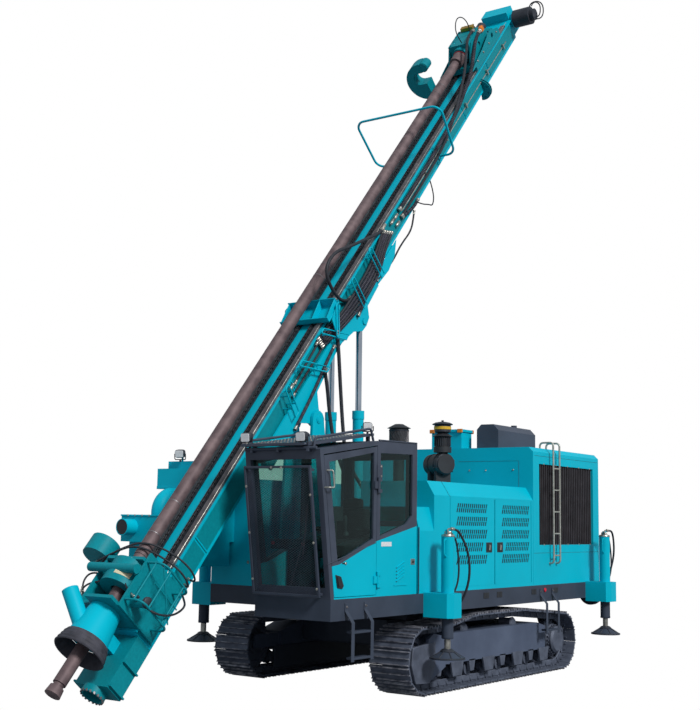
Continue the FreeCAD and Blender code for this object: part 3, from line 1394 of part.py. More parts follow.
def rotary_head():
    """The head's sledge on the rails, its gearbox round the string and two motors on top."""
    pad = "mast_face + rail_height + wheel_gap"
    sledge = block(("-310", "310"), depth(pad, "mast_face + 140"), ("spindle_seat - 250", "head_top"), "sledge")
    box = block(("-200", "200"), depth("mast_face + 140", "string_depth + 180"),
                ("spindle_seat", "spindle_seat + 560"), "gearbox")
    nose = drum("z", "150", ("spindle_seat - 90", "spindle_seat"), ("0", "-string_depth"), "nose")
    plate = [
        ("-(mast_face + 130)", "spindle_seat - 220"),
        ("-(mast_face + 130)", "head_top - 40"),
        ("-(mast_face + 210)", "head_top - 40"),
        ("-(string_depth + 150)", "spindle_seat + 540"),
        ("-(string_depth + 150)", "spindle_seat + 60"),
        ("-(mast_face + 210)", "spindle_seat - 220"),
    ]
    web = [prism("yz", plate, span, "side_plate") for span in (("-225", "-199"), ("199", "225"))]
    eyes = [drum("x", "55", ("-230", "230"), ("-(mast_face + 215)", "spindle_seat + 740"), "plate_hole"),
            drum("x", "48", ("-230", "-199.5"), ("-(string_depth - 20)", "spindle_seat + 300"), "plate_eye"),
            drum("x", "48", ("199.5", "230"), ("-(string_depth - 20)", "spindle_seat + 300"), "plate_eye")]
    bore = drum("z", "spindle_radius + slide_gap", ("spindle_seat - 95", "spindle_seat + 160"),
                ("0", "-string_depth"), "spindle_bore")
    lean("rotary_head", cut(fuse(sledge, box, nose, *web), bore, *eyes))
    motors = []
    for side in (-1, 1):
        motors.append(drum("z", "82", ("spindle_seat + 560", "spindle_seat + 860"),
                           (f"{side} * 98", "-(string_depth + 40)"), "head_motor"))
    lean("head_motors", gather(*motors))


def drill_string():
    """The spindle, the saver sub and the drill rod in one line, and the hammer with its bit."""
    centre = ("0", "-string_depth")
    rod = drum("z", "rod_radius", ("rod_low", "rod_high"), centre, "rod")
    sub = drum("z", "sub_radius", ("rod_high", "spindle_seat - 330"), centre, "sub")
    flange = drum("z", "112", ("spindle_seat - 330", "spindle_seat - 100"), centre, "spindle_flange")
    spindle = drum("z", "spindle_radius", ("spindle_seat - 100", "spindle_seat + 150"), centre, "spindle")
    lean("drill_rod", fuse(rod, sub, flange, spindle))
    hammer = drum("z", "hammer_radius", ("hammer_low", "rod_low"), centre, "hammer")
    neck = drum("z", "hammer_radius - 16", ("bit_low + 90", "hammer_low"), centre, "bit_neck")
    head = cone("z", ("bit_radius", "bit_radius - 12"), ("bit_low", "bit_low + 95"), centre, "bit")
    lean("hammer_and_bit", fuse(hammer, neck, head))


def hose_carriage():
    """The half-speed carriage that leads the head's hoses up and down the mast."""
    pad = "mast_face + rail_height + wheel_gap"
    base = block(("-420", "420"), depth(pad, "mast_face + 120"), ("carriage_low", "carriage_high"), "carriage")
    lip = block(("-420", "420"), depth("mast_face + 120", "mast_face + 190"),
                ("carriage_high - 30", "carriage_high"), "carriage_lip")
    bracket = block(("420", "450"), depth("mast_face - 180", "mast_face + 190"),
                    ("carriage_low + 40", "carriage_high"), "carriage_side")
    lean("hose_carriage", fuse(base, lip, bracket))


undercarriage()
chassis()
jacks()
hanging_steps()
cab()
cab_fittings()
bays()
hood()
hood_ladder()
intake()
front_tank()
dust_collector()
tower()
lift_cylinders()
mast_carrier()
mast_beam()
rails_and_chains()
clamp_table()
clamp_guard()
dust_hood()
guard_hoop()
rod_loader()
feed_drive()
rotary_head()
drill_string()
hose_carriage()

doc.recompute()

faults = [item.Name for item in doc.Objects if {"Invalid", "Error"} & set(item.State)]
faults += [item.Label for item in PIECES if item.Shape.isNull() or not item.Shape.isValid()]
if faults:
    raise SystemExit(f"not written, these failed: {faults}")

os.makedirs("parts", exist_ok=True)
for item in PIECES:
    item.Shape.exportStep(f"parts/{item.Label}.step")
    print(f"{item.Label:28s} {len(item.Shape.Solids)} solids {item.Shape.Volume / 1e9:.4f} m3")
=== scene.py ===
# %% [markdown]
# # A tracked rock drilling rig
# The machine stands on two crawler tracks, with a cab at the left front, engine
# and cooler houses behind it and a long box mast that leans over the front. The
# solids come from the construction model. This lesson gives them their finishes
# and adds what construction leaves out: shoes, hoses, mesh, lamps and latches.
#
# ## The frame
# Everything shares one frame: metres, the front towards -Y, the cab on the +X
# side and the ground at zero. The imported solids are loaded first.

import json
import math

import bpy
from mathutils import Matrix, Vector


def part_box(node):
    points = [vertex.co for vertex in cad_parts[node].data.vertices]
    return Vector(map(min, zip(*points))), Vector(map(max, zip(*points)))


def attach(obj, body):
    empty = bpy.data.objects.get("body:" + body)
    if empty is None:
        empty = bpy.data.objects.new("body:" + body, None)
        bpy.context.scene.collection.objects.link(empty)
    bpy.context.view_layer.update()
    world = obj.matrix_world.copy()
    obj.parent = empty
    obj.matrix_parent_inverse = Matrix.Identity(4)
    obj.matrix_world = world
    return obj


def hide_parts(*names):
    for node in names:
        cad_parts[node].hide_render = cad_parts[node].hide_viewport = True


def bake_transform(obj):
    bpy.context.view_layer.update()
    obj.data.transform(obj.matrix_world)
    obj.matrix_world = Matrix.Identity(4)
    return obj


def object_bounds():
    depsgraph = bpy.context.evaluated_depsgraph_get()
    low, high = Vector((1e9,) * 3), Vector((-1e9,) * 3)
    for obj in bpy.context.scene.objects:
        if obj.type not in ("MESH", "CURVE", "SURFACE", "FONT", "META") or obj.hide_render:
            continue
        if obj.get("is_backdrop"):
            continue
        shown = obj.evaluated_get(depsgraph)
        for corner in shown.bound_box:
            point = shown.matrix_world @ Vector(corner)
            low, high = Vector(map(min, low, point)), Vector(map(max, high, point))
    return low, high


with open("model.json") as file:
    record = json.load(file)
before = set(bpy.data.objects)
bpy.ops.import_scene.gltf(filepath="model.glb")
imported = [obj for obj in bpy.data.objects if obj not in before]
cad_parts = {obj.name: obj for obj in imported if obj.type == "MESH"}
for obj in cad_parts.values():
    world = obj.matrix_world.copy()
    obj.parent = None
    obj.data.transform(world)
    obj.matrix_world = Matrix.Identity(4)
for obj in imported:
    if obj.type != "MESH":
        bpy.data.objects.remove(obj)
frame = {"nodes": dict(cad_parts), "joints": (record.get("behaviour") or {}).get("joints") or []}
nodes = frame["nodes"]
bare_low, bare_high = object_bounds()

# %% [markdown]
# ## The camera
# The rig is seen from its left front corner, from a standing person's eye
# height. The line of sight is 36 degrees off straight ahead and tips up a
# little, because the mast is tall.

# %% Stand the camera at the left front
eye = bpy.data.cameras.new("viewpoint")
eye.lens, eye.sensor_width, eye.clip_end = 61.3, 36.0, 200.0
eye.shift_x, eye.shift_y = 0.0283, 0.0059
viewpoint = bpy.data.objects.new("viewpoint", eye)
bpy.context.collection.objects.link(viewpoint)
stand = Matrix.Translation((9.9594, -15.631, 2.2))
for degrees, axis in ((36.22, "Z"), (97.64, "X"), (1.016, "Z")):
    stand = stand @ Matrix.Rotation(math.radians(degrees), 4, axis)
viewpoint.matrix_world = stand
bpy.context.scene.camera = viewpoint
bpy.context.scene.view_settings.view_transform = "Standard"
print("camera", tuple(round(v, 2) for v in viewpoint.matrix_world.translation))

# %% [markdown]
# ## Colours and nodes
# Colours are hex numbers, and one function turns them into linear values. Three
# more open a shader tree, add a node to it and mix two shaders, so that each
# finish below reads as a short list of layers.


# %% Helpers for finishes
def linear(chart):
    """A chart colour such as '00A9BC' as linear red, green, blue and alpha."""
    parts = [int(chart[i : i + 2], 16) / 255 for i in (0, 2, 4)]
    return [p / 12.92 if p <= 0.04045 else ((p + 0.055) / 1.055) ** 2.4 for p in parts] + [1.0]


def opened(owner):
    """The empty shader tree of a new material or sky."""
    owner.use_nodes = True
    owner.node_tree.nodes.clear()
    return owner.node_tree


def node(tree, kind, links=None, **settings):
    """Adds a shader node, sets its properties or inputs, and links its inputs."""
    made = tree.nodes.new("ShaderNode" + kind)
    for key, value in settings.items():
        if hasattr(made, key):
            setattr(made, key, value)
        else:
            made.inputs[key.replace("_", " ")].default_value = value
    for socket, source in (links or {}).items():
        tree.links.new(source, made.inputs[socket])
    return made


def mixed(tree, share, first, second):
    """Two shaders mixed by a share."""
    return node(tree, "MixShader", {0: share, 1: first.outputs[0], 2: second.outputs[0]})


# %% [markdown]
# ## Light and ground
# A high hazy sun stands over the machine's left side, so the front faces are
# about half as bright as those on the cab's side. The sky is plain and even. The
# yard is lost in the haze, but throws a little light up under the machine.

# %% Sky, sun and yard
WHITE = (1, 1, 1, 1)
sky = bpy.data.worlds.new("hazy_sky")
bpy.context.scene.world = sky
tree = opened(sky)
path = node(tree, "LightPath")
soft = node(tree, "Background", Color=linear("F4F8FF"), Strength=0.47)
mirror = node(tree, "Background", Color=linear("DCE6F0"), Strength=0.55)
plain = node(tree, "Background", Color=WHITE, Strength=1.0)
lit = mixed(tree, path.outputs["Is Glossy Ray"], soft, mirror)
seen = mixed(tree, path.outputs["Is Camera Ray"], lit, plain)
through = mixed(tree, path.outputs["Is Transmission Ray"], seen, plain)
node(tree, "OutputWorld", {"Surface": through.outputs[0]})

lamp = bpy.data.lights.new("hazy_sun", "SUN")
lamp.energy, lamp.angle, lamp.color = 2.75, math.radians(12), (1.0, 0.98, 0.95)
sun = bpy.data.objects.new("hazy_sun", lamp)
bpy.context.collection.objects.link(sun)
sun.rotation_euler = Vector((-0.75, 0.25, -0.6)).to_track_quat("-Z", "Y").to_euler()

bpy.ops.object.select_all(action="DESELECT")
bpy.ops.mesh.primitive_plane_add(size=160, location=(0, 0, -0.004))
yard = bpy.context.object
yard.name = "yard"
yard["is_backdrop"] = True
pale = bpy.data.materials.new("hazed_concrete")
tree = opened(pale)
path = node(tree, "LightPath")
place = node(tree, "TexCoord")
stain = node(tree, "TexNoise", {"Vector": place.outputs["Object"]}, Scale=0.8)
grey = node(tree, "BsdfDiffuse", {"Roughness": stain.outputs[0]}, Color=linear("8C8F94"))
haze = node(tree, "Emission", Color=WHITE, Strength=1.0)
both = mixed(tree, path.outputs["Is Camera Ray"], grey, haze)
node(tree, "OutputMaterial", {"Surface": both.outputs[0]})
yard.data.materials.append(pale)
print("sun from the left, strength", round(lamp.energy, 2))

# %% [markdown]
# ## Finishes
# One function lays up every coating: two close tones in patches, a roughness
# that wanders, and a fine grain. What differs is told by the numbers: paint is
# smooth with a faint orange peel, cast parts are coarse, and rubber is dull.


# %% Lay up a finish
finishes, slot_of = {}, {}


def finish(name, slot, tone, deep, patch, rough, grain, relief, metal=0.0, shine=0.3):
    """Two tones in patches (m), roughness (low, high), grain (m) and its relief (m)."""
    made = bpy.data.materials.new(name)
    tree = opened(made)
    place = node(tree, "TexCoord").outputs["Object"]
    patches = node(tree, "TexNoise", {"Vector": place}, Scale=1 / patch, Detail=4.0, Roughness=0.55)
    value = {"Value": patches.outputs[0]}
    spread = node(tree, "MapRange", value, From_Min=0.3, From_Max=0.7, To_Min=0.0, To_Max=1.0)
    colour = node(tree, "Mix", {0: spread.outputs[0]}, data_type="RGBA")
    colour.inputs[6].default_value, colour.inputs[7].default_value = linear(deep), linear(tone)
    wander = node(tree, "MapRange", value, To_Min=rough[0], To_Max=rough[1])
    fine = node(tree, "TexNoise", {"Vector": place}, Scale=1 / grain, Detail=2.0)
    bumps = node(tree, "Bump", {"Height": fine.outputs[0]}, Strength=0.6, Distance=relief)
    layers = {"Base Color": colour.outputs[2], "Roughness": wander.outputs[0], "Normal": bumps.outputs[0]}
    shader = node(tree, "BsdfPrincipled", layers, Metallic=metal, Specular_IOR_Level=shine)
    node(tree, "OutputMaterial", {"Surface": shader.outputs[0]})
    finishes[name], slot_of[name] = made, slot


# %% [markdown]
# The body colour is a teal enamel, a shade darker where the coat is thin. The
# chassis, the cab's frame and the running gear are dark greys with a blue cast:
# enamel on the frames, satin on the cab, and a dulled matt dip on the tracks.

# %% Paints
finish("teal_enamel", "body_paint", "00B5CE", "00ACC4", 0.9, (0.38, 0.5), 0.004, 0.00012, shine=0.1)
finish("chassis_enamel", "frame_paint", "3E4757", "323A48", 0.6, (0.45, 0.6), 0.004, 0.0002, shine=0.25)
finish("track_enamel", "frame_paint", "545F74", "424C60", 0.7, (0.5, 0.65), 0.004, 0.0002, shine=0.2)
finish("cab_satin", "cab_paint", "434B5B", "343B49", 0.5, (0.35, 0.5), 0.004, 0.00015, shine=0.35)
finish("track_dip", "track_steel", "5F6778", "474E5D", 0.14, (0.5, 0.75), 0.006, 0.0006, 0.25, 0.4)
finish("grille_satin", "radiator_core", "3B3A3F", "2A292D", 0.2, (0.4, 0.6), 0.004, 0.0002)

# %% [markdown]
# Cast iron keeps a pebbled skin under black paint. Zinc-plated fittings are
# light and a little yellow, ground bars are grey, and the chromed rods are
# mirror bright. The drill rod is bare pipe, brown with one season's rust.

# %% Metals
finish("cast_black", "dark_cast", "3C4049", "2B2E36", 0.08, (0.4, 0.6), 0.003, 0.0005, 0.2, 0.4)
finish("zinc_plate", "bare_steel", "C9C6BC", "9D9A92", 0.05, (0.25, 0.4), 0.002, 0.0001, 0.85, 0.5)
finish("worn_steel", "bare_steel", "8E8B8E", "5F5C5F", 0.12, (0.35, 0.55), 0.003, 0.0003, 0.7, 0.5)
finish("rolled_chain", "chain_steel", "3C3F45", "26282E", 0.05, (0.35, 0.55), 0.002, 0.0003, 0.5, 0.5)
finish("hard_chrome", "chrome_rod", "DDE2E8", "C2C8D0", 0.3, (0.08, 0.16), 0.002, 0.00003, 1.0, 0.5)
finish("rusty_pipe", "drill_steel", "7A696B", "54464A", 0.16, (0.5, 0.75), 0.004, 0.0006, 0.3, 0.4)
finish("galvanised_tube", "bare_steel", "B9BBB4", "97998F", 0.06, (0.35, 0.5), 0.003, 0.0001, 0.5, 0.5)

# %% [markdown]
# Rubber and plastic are dull: hoses are matt black, the dust skirt is grey
# rubber dusted with rock flour, and the consoles are moulded in charcoal.

# %% Rubber, plastic and cloth
finish("hose_wrap", "dark_plastic", "5B5968", "474554", 0.05, (0.5, 0.7), 0.002, 0.0002)
finish("hose_rubber", "skirt_rubber", "2E3139", "1F2228", 0.05, (0.5, 0.7), 0.002, 0.0003, shine=0.35)
finish("skirt_rubber", "skirt_rubber", "4A4B55", "33343C", 0.1, (0.6, 0.8), 0.004, 0.0006)
finish("moulded_plastic", "dark_plastic", "2B2E33", "212328", 0.2, (0.45, 0.6), 0.0015, 0.0002, shine=0.4)
finish("seat_cloth", "seat_fabric", "24262B", "191B1F", 0.06, (0.75, 0.95), 0.0012, 0.0006, shine=0.2)
finish("core_fins", "radiator_core", "7A5A55", "5A4442", 0.1, (0.6, 0.8), 0.002, 0.0006, shine=0.2)
print(len(finishes), "finishes laid up")

# %% [markdown]
# The cab's panes are laminated glass with a faint green body tint. A clear pane
# needs no grain, only slight waviness, so that its reflections bend a little.

# %% Glass
glass = bpy.data.materials.new("laminated_glass")
tree = opened(glass)
place = node(tree, "TexCoord")
waves = node(tree, "TexNoise", {"Vector": place.outputs["Object"]}, Scale=2.0)
ripple = node(tree, "Bump", {"Height": waves.outputs[0]}, Strength=0.15, Distance=0.004)
rim = node(tree, "Fresnel", {"Normal": ripple.outputs[0]}, IOR=1.45)
face = node(tree, "NewGeometry")
front = node(tree, "Math", {1: face.outputs["Backfacing"]}, operation="SUBTRACT")
front.inputs[0].default_value = 1.0
sheen = node(tree, "Math", {0: rim.outputs[0], 1: front.outputs[0]}, operation="MULTIPLY")
tint = node(tree, "BsdfTransparent", Color=linear("D3E6E1"))
skin = node(tree, "BsdfGlossy", {"Normal": ripple.outputs[0]}, Color=linear("DCEFEA"), Roughness=0.03)
pane = mixed(tree, sheen.outputs[0], tint, skin)
node(tree, "OutputMaterial", {"Surface": pane.outputs[0]})
finishes["laminated_glass"], slot_of["laminated_glass"] = glass, "cab_glass"

# %% [markdown]
# ## Finish the solids
# Each solid already names the coating it wears, so the finishes go on by that
# name. The solids in the second list are the exceptions.

# %% Coat every solid
coating = {
    "body_paint": "teal_enamel",
    "frame_paint": "chassis_enamel",
    "cab_paint": "cab_satin",
    "cab_glass": "laminated_glass",
    "track_steel": "track_dip",
    "dark_cast": "cast_black",
    "bare_steel": "galvanised_tube",
    "chain_steel": "rolled_chain",
    "chrome_rod": "hard_chrome",
    "drill_steel": "rusty_pipe",
    "radiator_core": "grille_satin",
    "dark_plastic": "moulded_plastic",
    "seat_fabric": "seat_cloth",
    "skirt_rubber": "skirt_rubber",
}
for solid in nodes.values():
    for place in solid.material_slots:
        place.material = finishes[coating[place.material.name.split(".")[0]]]


def recoat(coat, *names):
    """Gives some solids another coat than their own."""
    for name in names:
        nodes[name].material_slots[0].material = finishes[coat]


recoat("worn_steel", "slide_rails")
recoat("track_enamel", "track_frame_left", "track_frame_right")
recoat("core_fins", "radiator_grilles")
print("solids coated")

# %% [markdown]
# ## The bench
# A fitter works with a few basic shapes: a block with eased edges, a turned
# drum, a cut plate, a bent tube, a turned profile and a row of like parts.
# Each function below makes one of them at its true size and place. Sizes are in
# metres; long lines of points are written as on a drawing, in millimetres.


# %% Opening a piece and working on it
SIDES = {"left": 1, "right": -1}
ACROSS, AHEAD, UP = (1, 0, 0), (0, -1, 0), (0, 0, 1)


def mm(text):
    """Points in metres from a text in millimetres, with a comma between points."""
    return [tuple(float(size) / 1000 for size in point.split()) for point in text.split(",")]


def pick(*pieces):
    """Selects only these pieces, the first of them active."""
    if bpy.context.object and bpy.context.object.mode != "OBJECT":
        bpy.ops.object.mode_set(mode="OBJECT")
    bpy.ops.object.select_all(action="DESELECT")
    for piece in pieces:
        piece.select_set(True)
    if pieces:
        bpy.context.view_layer.objects.active = pieces[0]


def work(piece, *steps):
    """Opens a piece with all of it selected, takes the steps in turn and closes it."""
    pick(piece)
    bpy.ops.object.mode_set(mode="EDIT")
    all_of_it()
    for step in steps:
        step()
    bpy.ops.object.mode_set(mode="OBJECT")
    return piece


def all_of_it():
    """Selects the whole open piece."""
    bpy.ops.mesh.select_all(action="SELECT")


def sharp_edges():
    """Selects the edges that turn by more than 35 degrees."""
    bpy.ops.mesh.select_all(action="DESELECT")
    bpy.ops.mesh.edges_select_sharp(sharpness=math.radians(35))


def facing_out():
    """Turns every face outwards."""
    all_of_it()
    bpy.ops.mesh.normals_make_consistent(inside=False)


def eased(size, segments=1):
    """A step that bevels the selected edges."""
    return lambda: bpy.ops.mesh.bevel(offset=size, segments=segments, affect="EDGES")


# %% Shapes for the bench
def cube(corner, opposite):
    """A plain box between two opposite corners."""
    low, high = (Vector([end(pair) for pair in zip(corner, opposite)]) for end in (min, max))
    pick()
    bpy.ops.mesh.primitive_cube_add(size=1, location=(low + high) / 2)
    piece = bpy.context.object
    piece.scale = high - low
    bpy.ops.object.transform_apply(location=True, rotation=True, scale=True)
    return piece


def block(corner, opposite, edge=0.004):
    """A box with its edges eased."""
    return work(cube(corner, opposite), eased(edge))


def drum(start, end, radius, edge=0.003, sides=24, top=None):
    """A turned bar from one point to another, or a cone if the top has its own radius."""
    start, end = Vector(start), Vector(end)
    pick()
    bpy.ops.mesh.primitive_cone_add(
        vertices=sides,
        radius1=radius,
        radius2=radius if top is None else top,
        depth=(end - start).length,
        location=(start + end) / 2,
        rotation=(end - start).to_track_quat("Z", "Y").to_euler(),
    )
    bpy.ops.object.transform_apply(location=True, rotation=True, scale=True)
    return work(bpy.context.object, sharp_edges, eased(edge))


def traced(outline, fill):
    """A closed outline through points, filled or open."""
    pick()
    bpy.ops.mesh.primitive_circle_add(vertices=len(outline), fill_type=fill, location=(0, 0, 0))
    for corner, spot in zip(bpy.context.object.data.vertices, outline):
        corner.co = spot
    return bpy.context.object


def plate(outline, thick, edge=0.003):
    """A plate with this outline in space, pushed out along a vector."""
    push = lambda: bpy.ops.mesh.extrude_region_move(TRANSFORM_OT_translate={"value": tuple(thick)})
    return work(traced(outline, "NGON"), push, facing_out, sharp_edges, eased(edge))


def turned(profile, origin, axis=UP, sides=32):
    """A turned part: (radius, height) points spun round an axis through an origin."""
    spin = lambda: bpy.ops.mesh.spin(steps=sides, angle=2 * math.pi, center=(0, 0, 0), axis=UP)
    weld = lambda: bpy.ops.mesh.remove_doubles(threshold=0.00005)
    piece = traced([(radius, 0, height) for radius, height in profile], "NOTHING")
    work(piece, spin, all_of_it, weld, facing_out)
    turn = Vector(axis).to_track_quat("Z", "Y").to_matrix().to_4x4()
    piece.data.transform(Matrix.Translation(origin) @ turn)
    return piece


def rounded(points, bend):
    """The points of a line whose inner corners are bent to a radius."""
    points = [Vector(p) for p in points]
    line = [points[0]]
    for before, corner, after in zip(points, points[1:], points[2:]):
        back, ahead = (before - corner).normalized(), (after - corner).normalized()
        half = back.angle(ahead) / 2
        if half > math.radians(88):
            continue
        longest = 0.49 * min((before - corner).length, (after - corner).length)
        reach = min(bend / math.tan(half), longest)
        first, last = corner + back * reach, corner + ahead * reach
        for t in (0.0, 0.2, 0.4, 0.6, 0.8, 1.0):
            line.append(first * (1 - t) ** 2 + corner * 2 * t * (1 - t) + last * t**2)
    return line + [points[-1]]


def drawn(name, points, kind):
    """A curve through points: POLY has straight runs, NURBS is one smooth line."""
    curve = bpy.data.curves.new(name, "CURVE")
    curve.dimensions = "3D"
    spline = curve.splines.new(kind)
    spline.points.add(len(points) - 1)
    for knot, spot in zip(spline.points, points):
        knot.co = (*spot, 1)
    return curve, spline


def shown(name, curve, radius, sides):
    """The object of a curve, as a round capped tube."""
    curve.bevel_depth, curve.bevel_resolution, curve.use_fill_caps = radius, sides, True
    piece = bpy.data.objects.new(name, curve)
    bpy.context.collection.objects.link(piece)
    return piece


def bent(points, radius, bend=0.05, sides=2, closed=False):
    """A round tube along a line of points, bent at the corners and capped."""
    curve, spline = drawn("tube", rounded(points, bend) if bend else points, "POLY")
    spline.use_cyclic_u = closed
    pick(shown("tube", curve, radius, sides))
    bpy.ops.object.convert(target="MESH")
    return bpy.context.object


def strand(points, radius, sides=0):
    """A thin wire or bar along points, with plain corners."""
    return bent(points, radius, 0, sides)


# %% [markdown]
# The rest of the bench joins, repeats and cuts pieces. The last function puts a
# finished piece in place, coats it and hangs it on the body that carries it.


# %% Joining, repeating, cutting and settling
def joined(pieces):
    """Several pieces made one; a single piece stays as it is."""
    pieces = pieces if isinstance(pieces, list) else [pieces]
    pick(*pieces)
    if len(pieces) > 1:
        bpy.ops.object.join()
    return pieces[0]


def copied(piece, moves):
    """Copies of a piece, each with its own mesh: moves are offsets or matrices."""
    made = []
    for move in moves:
        twin = bpy.data.objects.new(piece.name, piece.data.copy())
        twin.data.transform(move if isinstance(move, Matrix) else Matrix.Translation(move))
        bpy.context.collection.objects.link(twin)
        made.append(twin)
    return made


def row(piece, moves):
    """A piece and its copies, joined."""
    return joined([piece, *copied(piece, moves)])


def steps_of(count, x=0.0, y=0.0, z=0.0):
    """The offsets of a row's second and later members."""
    return [Vector((x * k, y * k, z * k)) for k in range(1, count)]


def circle(count, step, start=0):
    """The cosine and sine of evenly stepped angles, in degrees."""
    return [(math.cos(a), math.sin(a)) for a in (math.radians(start + step * k) for k in range(count))]


def spun(x, y, count, step):
    """The turns of a ring's second and later members about an upright line."""
    there, back = Matrix.Translation((x, y, 0)), Matrix.Translation((-x, -y, 0))
    return [there @ Matrix.Rotation(math.radians(step * k), 4, "Z") @ back for k in range(1, count)]


def carved(piece, cutter):
    """Cuts one piece out of another."""
    cut = piece.modifiers.new("cut", "BOOLEAN")
    cut.object, cut.operation, cut.solver = cutter, "DIFFERENCE", "EXACT"
    pick(piece)
    bpy.ops.object.modifier_apply(modifier="cut")
    bpy.data.objects.remove(cutter)
    return piece


made_count = 0


def settle(name, coat, pieces, body="chassis", place=None, smooth=35):
    """Joins pieces under a name, puts them in place, coats them and hangs them on a body."""
    global made_count
    piece = joined(pieces)
    piece.name = name
    if place is not None:
        piece.data.transform(place)
    pick(piece)
    bpy.ops.object.shade_smooth_by_angle(angle=math.radians(smooth))
    piece.data.materials.clear()
    piece.data.materials.append(finishes[coat])
    if body:
        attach(piece, body)
    made_count += 1
    return piece


# %% [markdown]
# Bolt heads are everywhere on a machine like this. One hexagon head with its
# washer is turned and cut once, then copied wherever a row of them is needed.


# %% Rows of bolt heads
def bolts(name, places, facing, across=0.024, coat="zinc_plate", body="chassis", place=None):
    """A row of hexagon heads on washers, at points, facing one way."""
    facing, first = Vector(facing).normalized(), Vector(places[0])
    head = drum(first, first + facing * across * 0.55, across / 2, 0.0015, sides=6)
    washer = drum(first, first + facing * across * 0.14, across * 0.72, 0.0008, sides=16)
    others = [Vector(p) - first for p in places[1:]]
    return settle(name, coat, row(joined([head, washer]), others), body, place)


# %% [markdown]
# Hydraulic hoses are rubber over braided wire, crimped into a steel ferrule at
# each end. They leave a port straight, and then take wide bends. Each one is a
# single smooth line, so its length can be read off it.

# %% Hoses with their ferrules
hose_list = []


def ferrule(name, at, along, bore, body, length=0.07):
    """A crimped ferrule and its nut where a hose leaves a port."""
    at, along = Vector(at), Vector(along).normalized() * length
    sleeve = drum(at + along * 0.35, at + along, bore * 1.25, 0.002, sides=16)
    nut = drum(at, at + along * 0.4, bore * 1.6, 0.002, sides=6)
    return settle(name, "zinc_plate", [sleeve, nut], body)


def laid(name, points, fineness):
    """The smooth line of a hose, and its length."""
    curve, spline = drawn(name, points, "NURBS")
    curve.resolution_u, spline.order_u, spline.use_endpoint_u = fineness, 3, True
    return curve, spline.calc_length()


def noted(name, length, bore):
    """Keeps a hose's length and its width in millimetres."""
    hose_list.append((name, round(length, 2), round(2000 * bore, 1)))


def hose(name, points, bore, body="chassis", place=Matrix(), far_end="object", guard=0.0, ends=True):
    """A hose along points, with a ferrule at each end and a coiled guard if wanted."""
    points = [place @ Vector(p) for p in points]
    curve, length = laid(name, points, 10)
    piece = shown(name, curve, bore, 3)
    curve.materials.append(finishes["hose_rubber"])
    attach(piece, body)
    if ends:
        ferrule(name + "_ferrule", points[0], points[1] - points[0], bore, body)
        if far_end == "object":
            ferrule(name + "_far_ferrule", points[-1], points[-2] - points[-1], bore, body)
    if guard:
        coiled_guard(name + "_guard", curve, bore, guard, body)
    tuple(points[0])
    noted(name, length, bore)


def centre_line(curve, step):
    """Evenly spaced points down the middle of a curve."""
    bare_curve = curve.copy()
    bare_curve.bevel_depth = 0
    probe = bpy.data.objects.new("probe", bare_curve)
    bpy.context.collection.objects.link(probe)
    line = [v.co.copy() for v in probe.to_mesh().vertices]
    probe.to_mesh_clear()
    bpy.data.objects.remove(probe)
    spots, left = [line[0]], step
    for a, b in zip(line, line[1:]):
        run = (b - a).length
        while left <= run:
            spots.append(a.lerp(b, left / run))
            left += step
        left -= run
    return spots


def coiled_guard(name, curve, bore, pitch, body):
    """The plastic strip wound round a hose against rubbing."""
    turn = circle(8, 45)
    line = centre_line(curve, pitch / len(turn))
    up, coil = Vector((0.3, 0.2, 0.9)), []
    for index, (spot, after) in enumerate(zip(line, line[1:])):
        along = (after - spot).normalized()
        side = along.cross(up).normalized()
        c, s = turn[index % len(turn)]
        coil.append(spot + (side * c + side.cross(along) * s) * (bore + 0.002))
    return settle(name, "hose_wrap", strand(coil, 0.0055), body)


# %% [markdown]
# A hose that hangs between two bodies gets a ferrule on each of them. The hose
# itself is baked where it lies and hangs on neither body.


# %% Hoses between two bodies
def crossing_hose(name, points, bore, upper, lower, place=Matrix(), guard=0.0):
    """A hose from one body to another, with a ferrule on each."""
    points = [place @ Vector(p) for p in points]
    curve, length = laid(name, points, 14)
    route = centre_line(curve, 0.03) + [points[-1]]
    tube = settle(name, "hose_rubber", strand(route, bore, sides=2), None)
    wrap = [coiled_guard(name + "_guard", curve, bore, guard, None)] if guard else []
    for piece in [tube, *wrap]:
        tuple(route[6])
        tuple(route[-12])
        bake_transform(piece)
    near = ferrule(name + "_ferrule", points[0], points[1] - points[0], bore, upper)
    far = ferrule(name + "_far_ferrule", points[-1], points[-2] - points[-1], bore, lower)
    wrap += [near, far]
    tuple(points[0])
    noted(name, length, bore)


# %% [markdown]
# The mast's own parts are modelled standing upright, with x across, depth
# counted from the back face towards the drill string, and height along the
# beam. Then the whole part is leaned forward about the tilt pin.

# %% The mast's lean
string_depth = 1.15  # from the mast's back face to the middle of the drill string
tilt = next(j for j in frame["joints"] if j["name"] == "mast_tilt")
lean = Matrix.Translation(tilt["pos_m"]) @ Matrix.Rotation(math.radians(-40.8), 4, "X")


def at(x, depth, height):
    """A point on the upright mast."""
    return Vector((x, -depth, height))


def on_mast(name, coat, pieces, body="mast"):
    """Settles pieces that were modelled on the upright mast."""
    return settle(name, coat, pieces, body, lean)


def mast_hose(name, points, bore, body="mast", **choices):
    """A hose whose points lie on the upright mast."""
    hose(name, points, bore, body, lean, **choices)


print("mast leans about", tilt["pos_m"])

# %% [markdown]
# ## Crawler tracks
# Each track is a loop of 51 pressed shoes bolted to a link chain. A shoe is a
# flat plate with three grouser bars rolled across it. The loop lies flat on the
# ground, wraps the idler and the sprocket, and is carried higher in the middle
# by two top rollers. One shoe is modelled, then set at even steps round it.

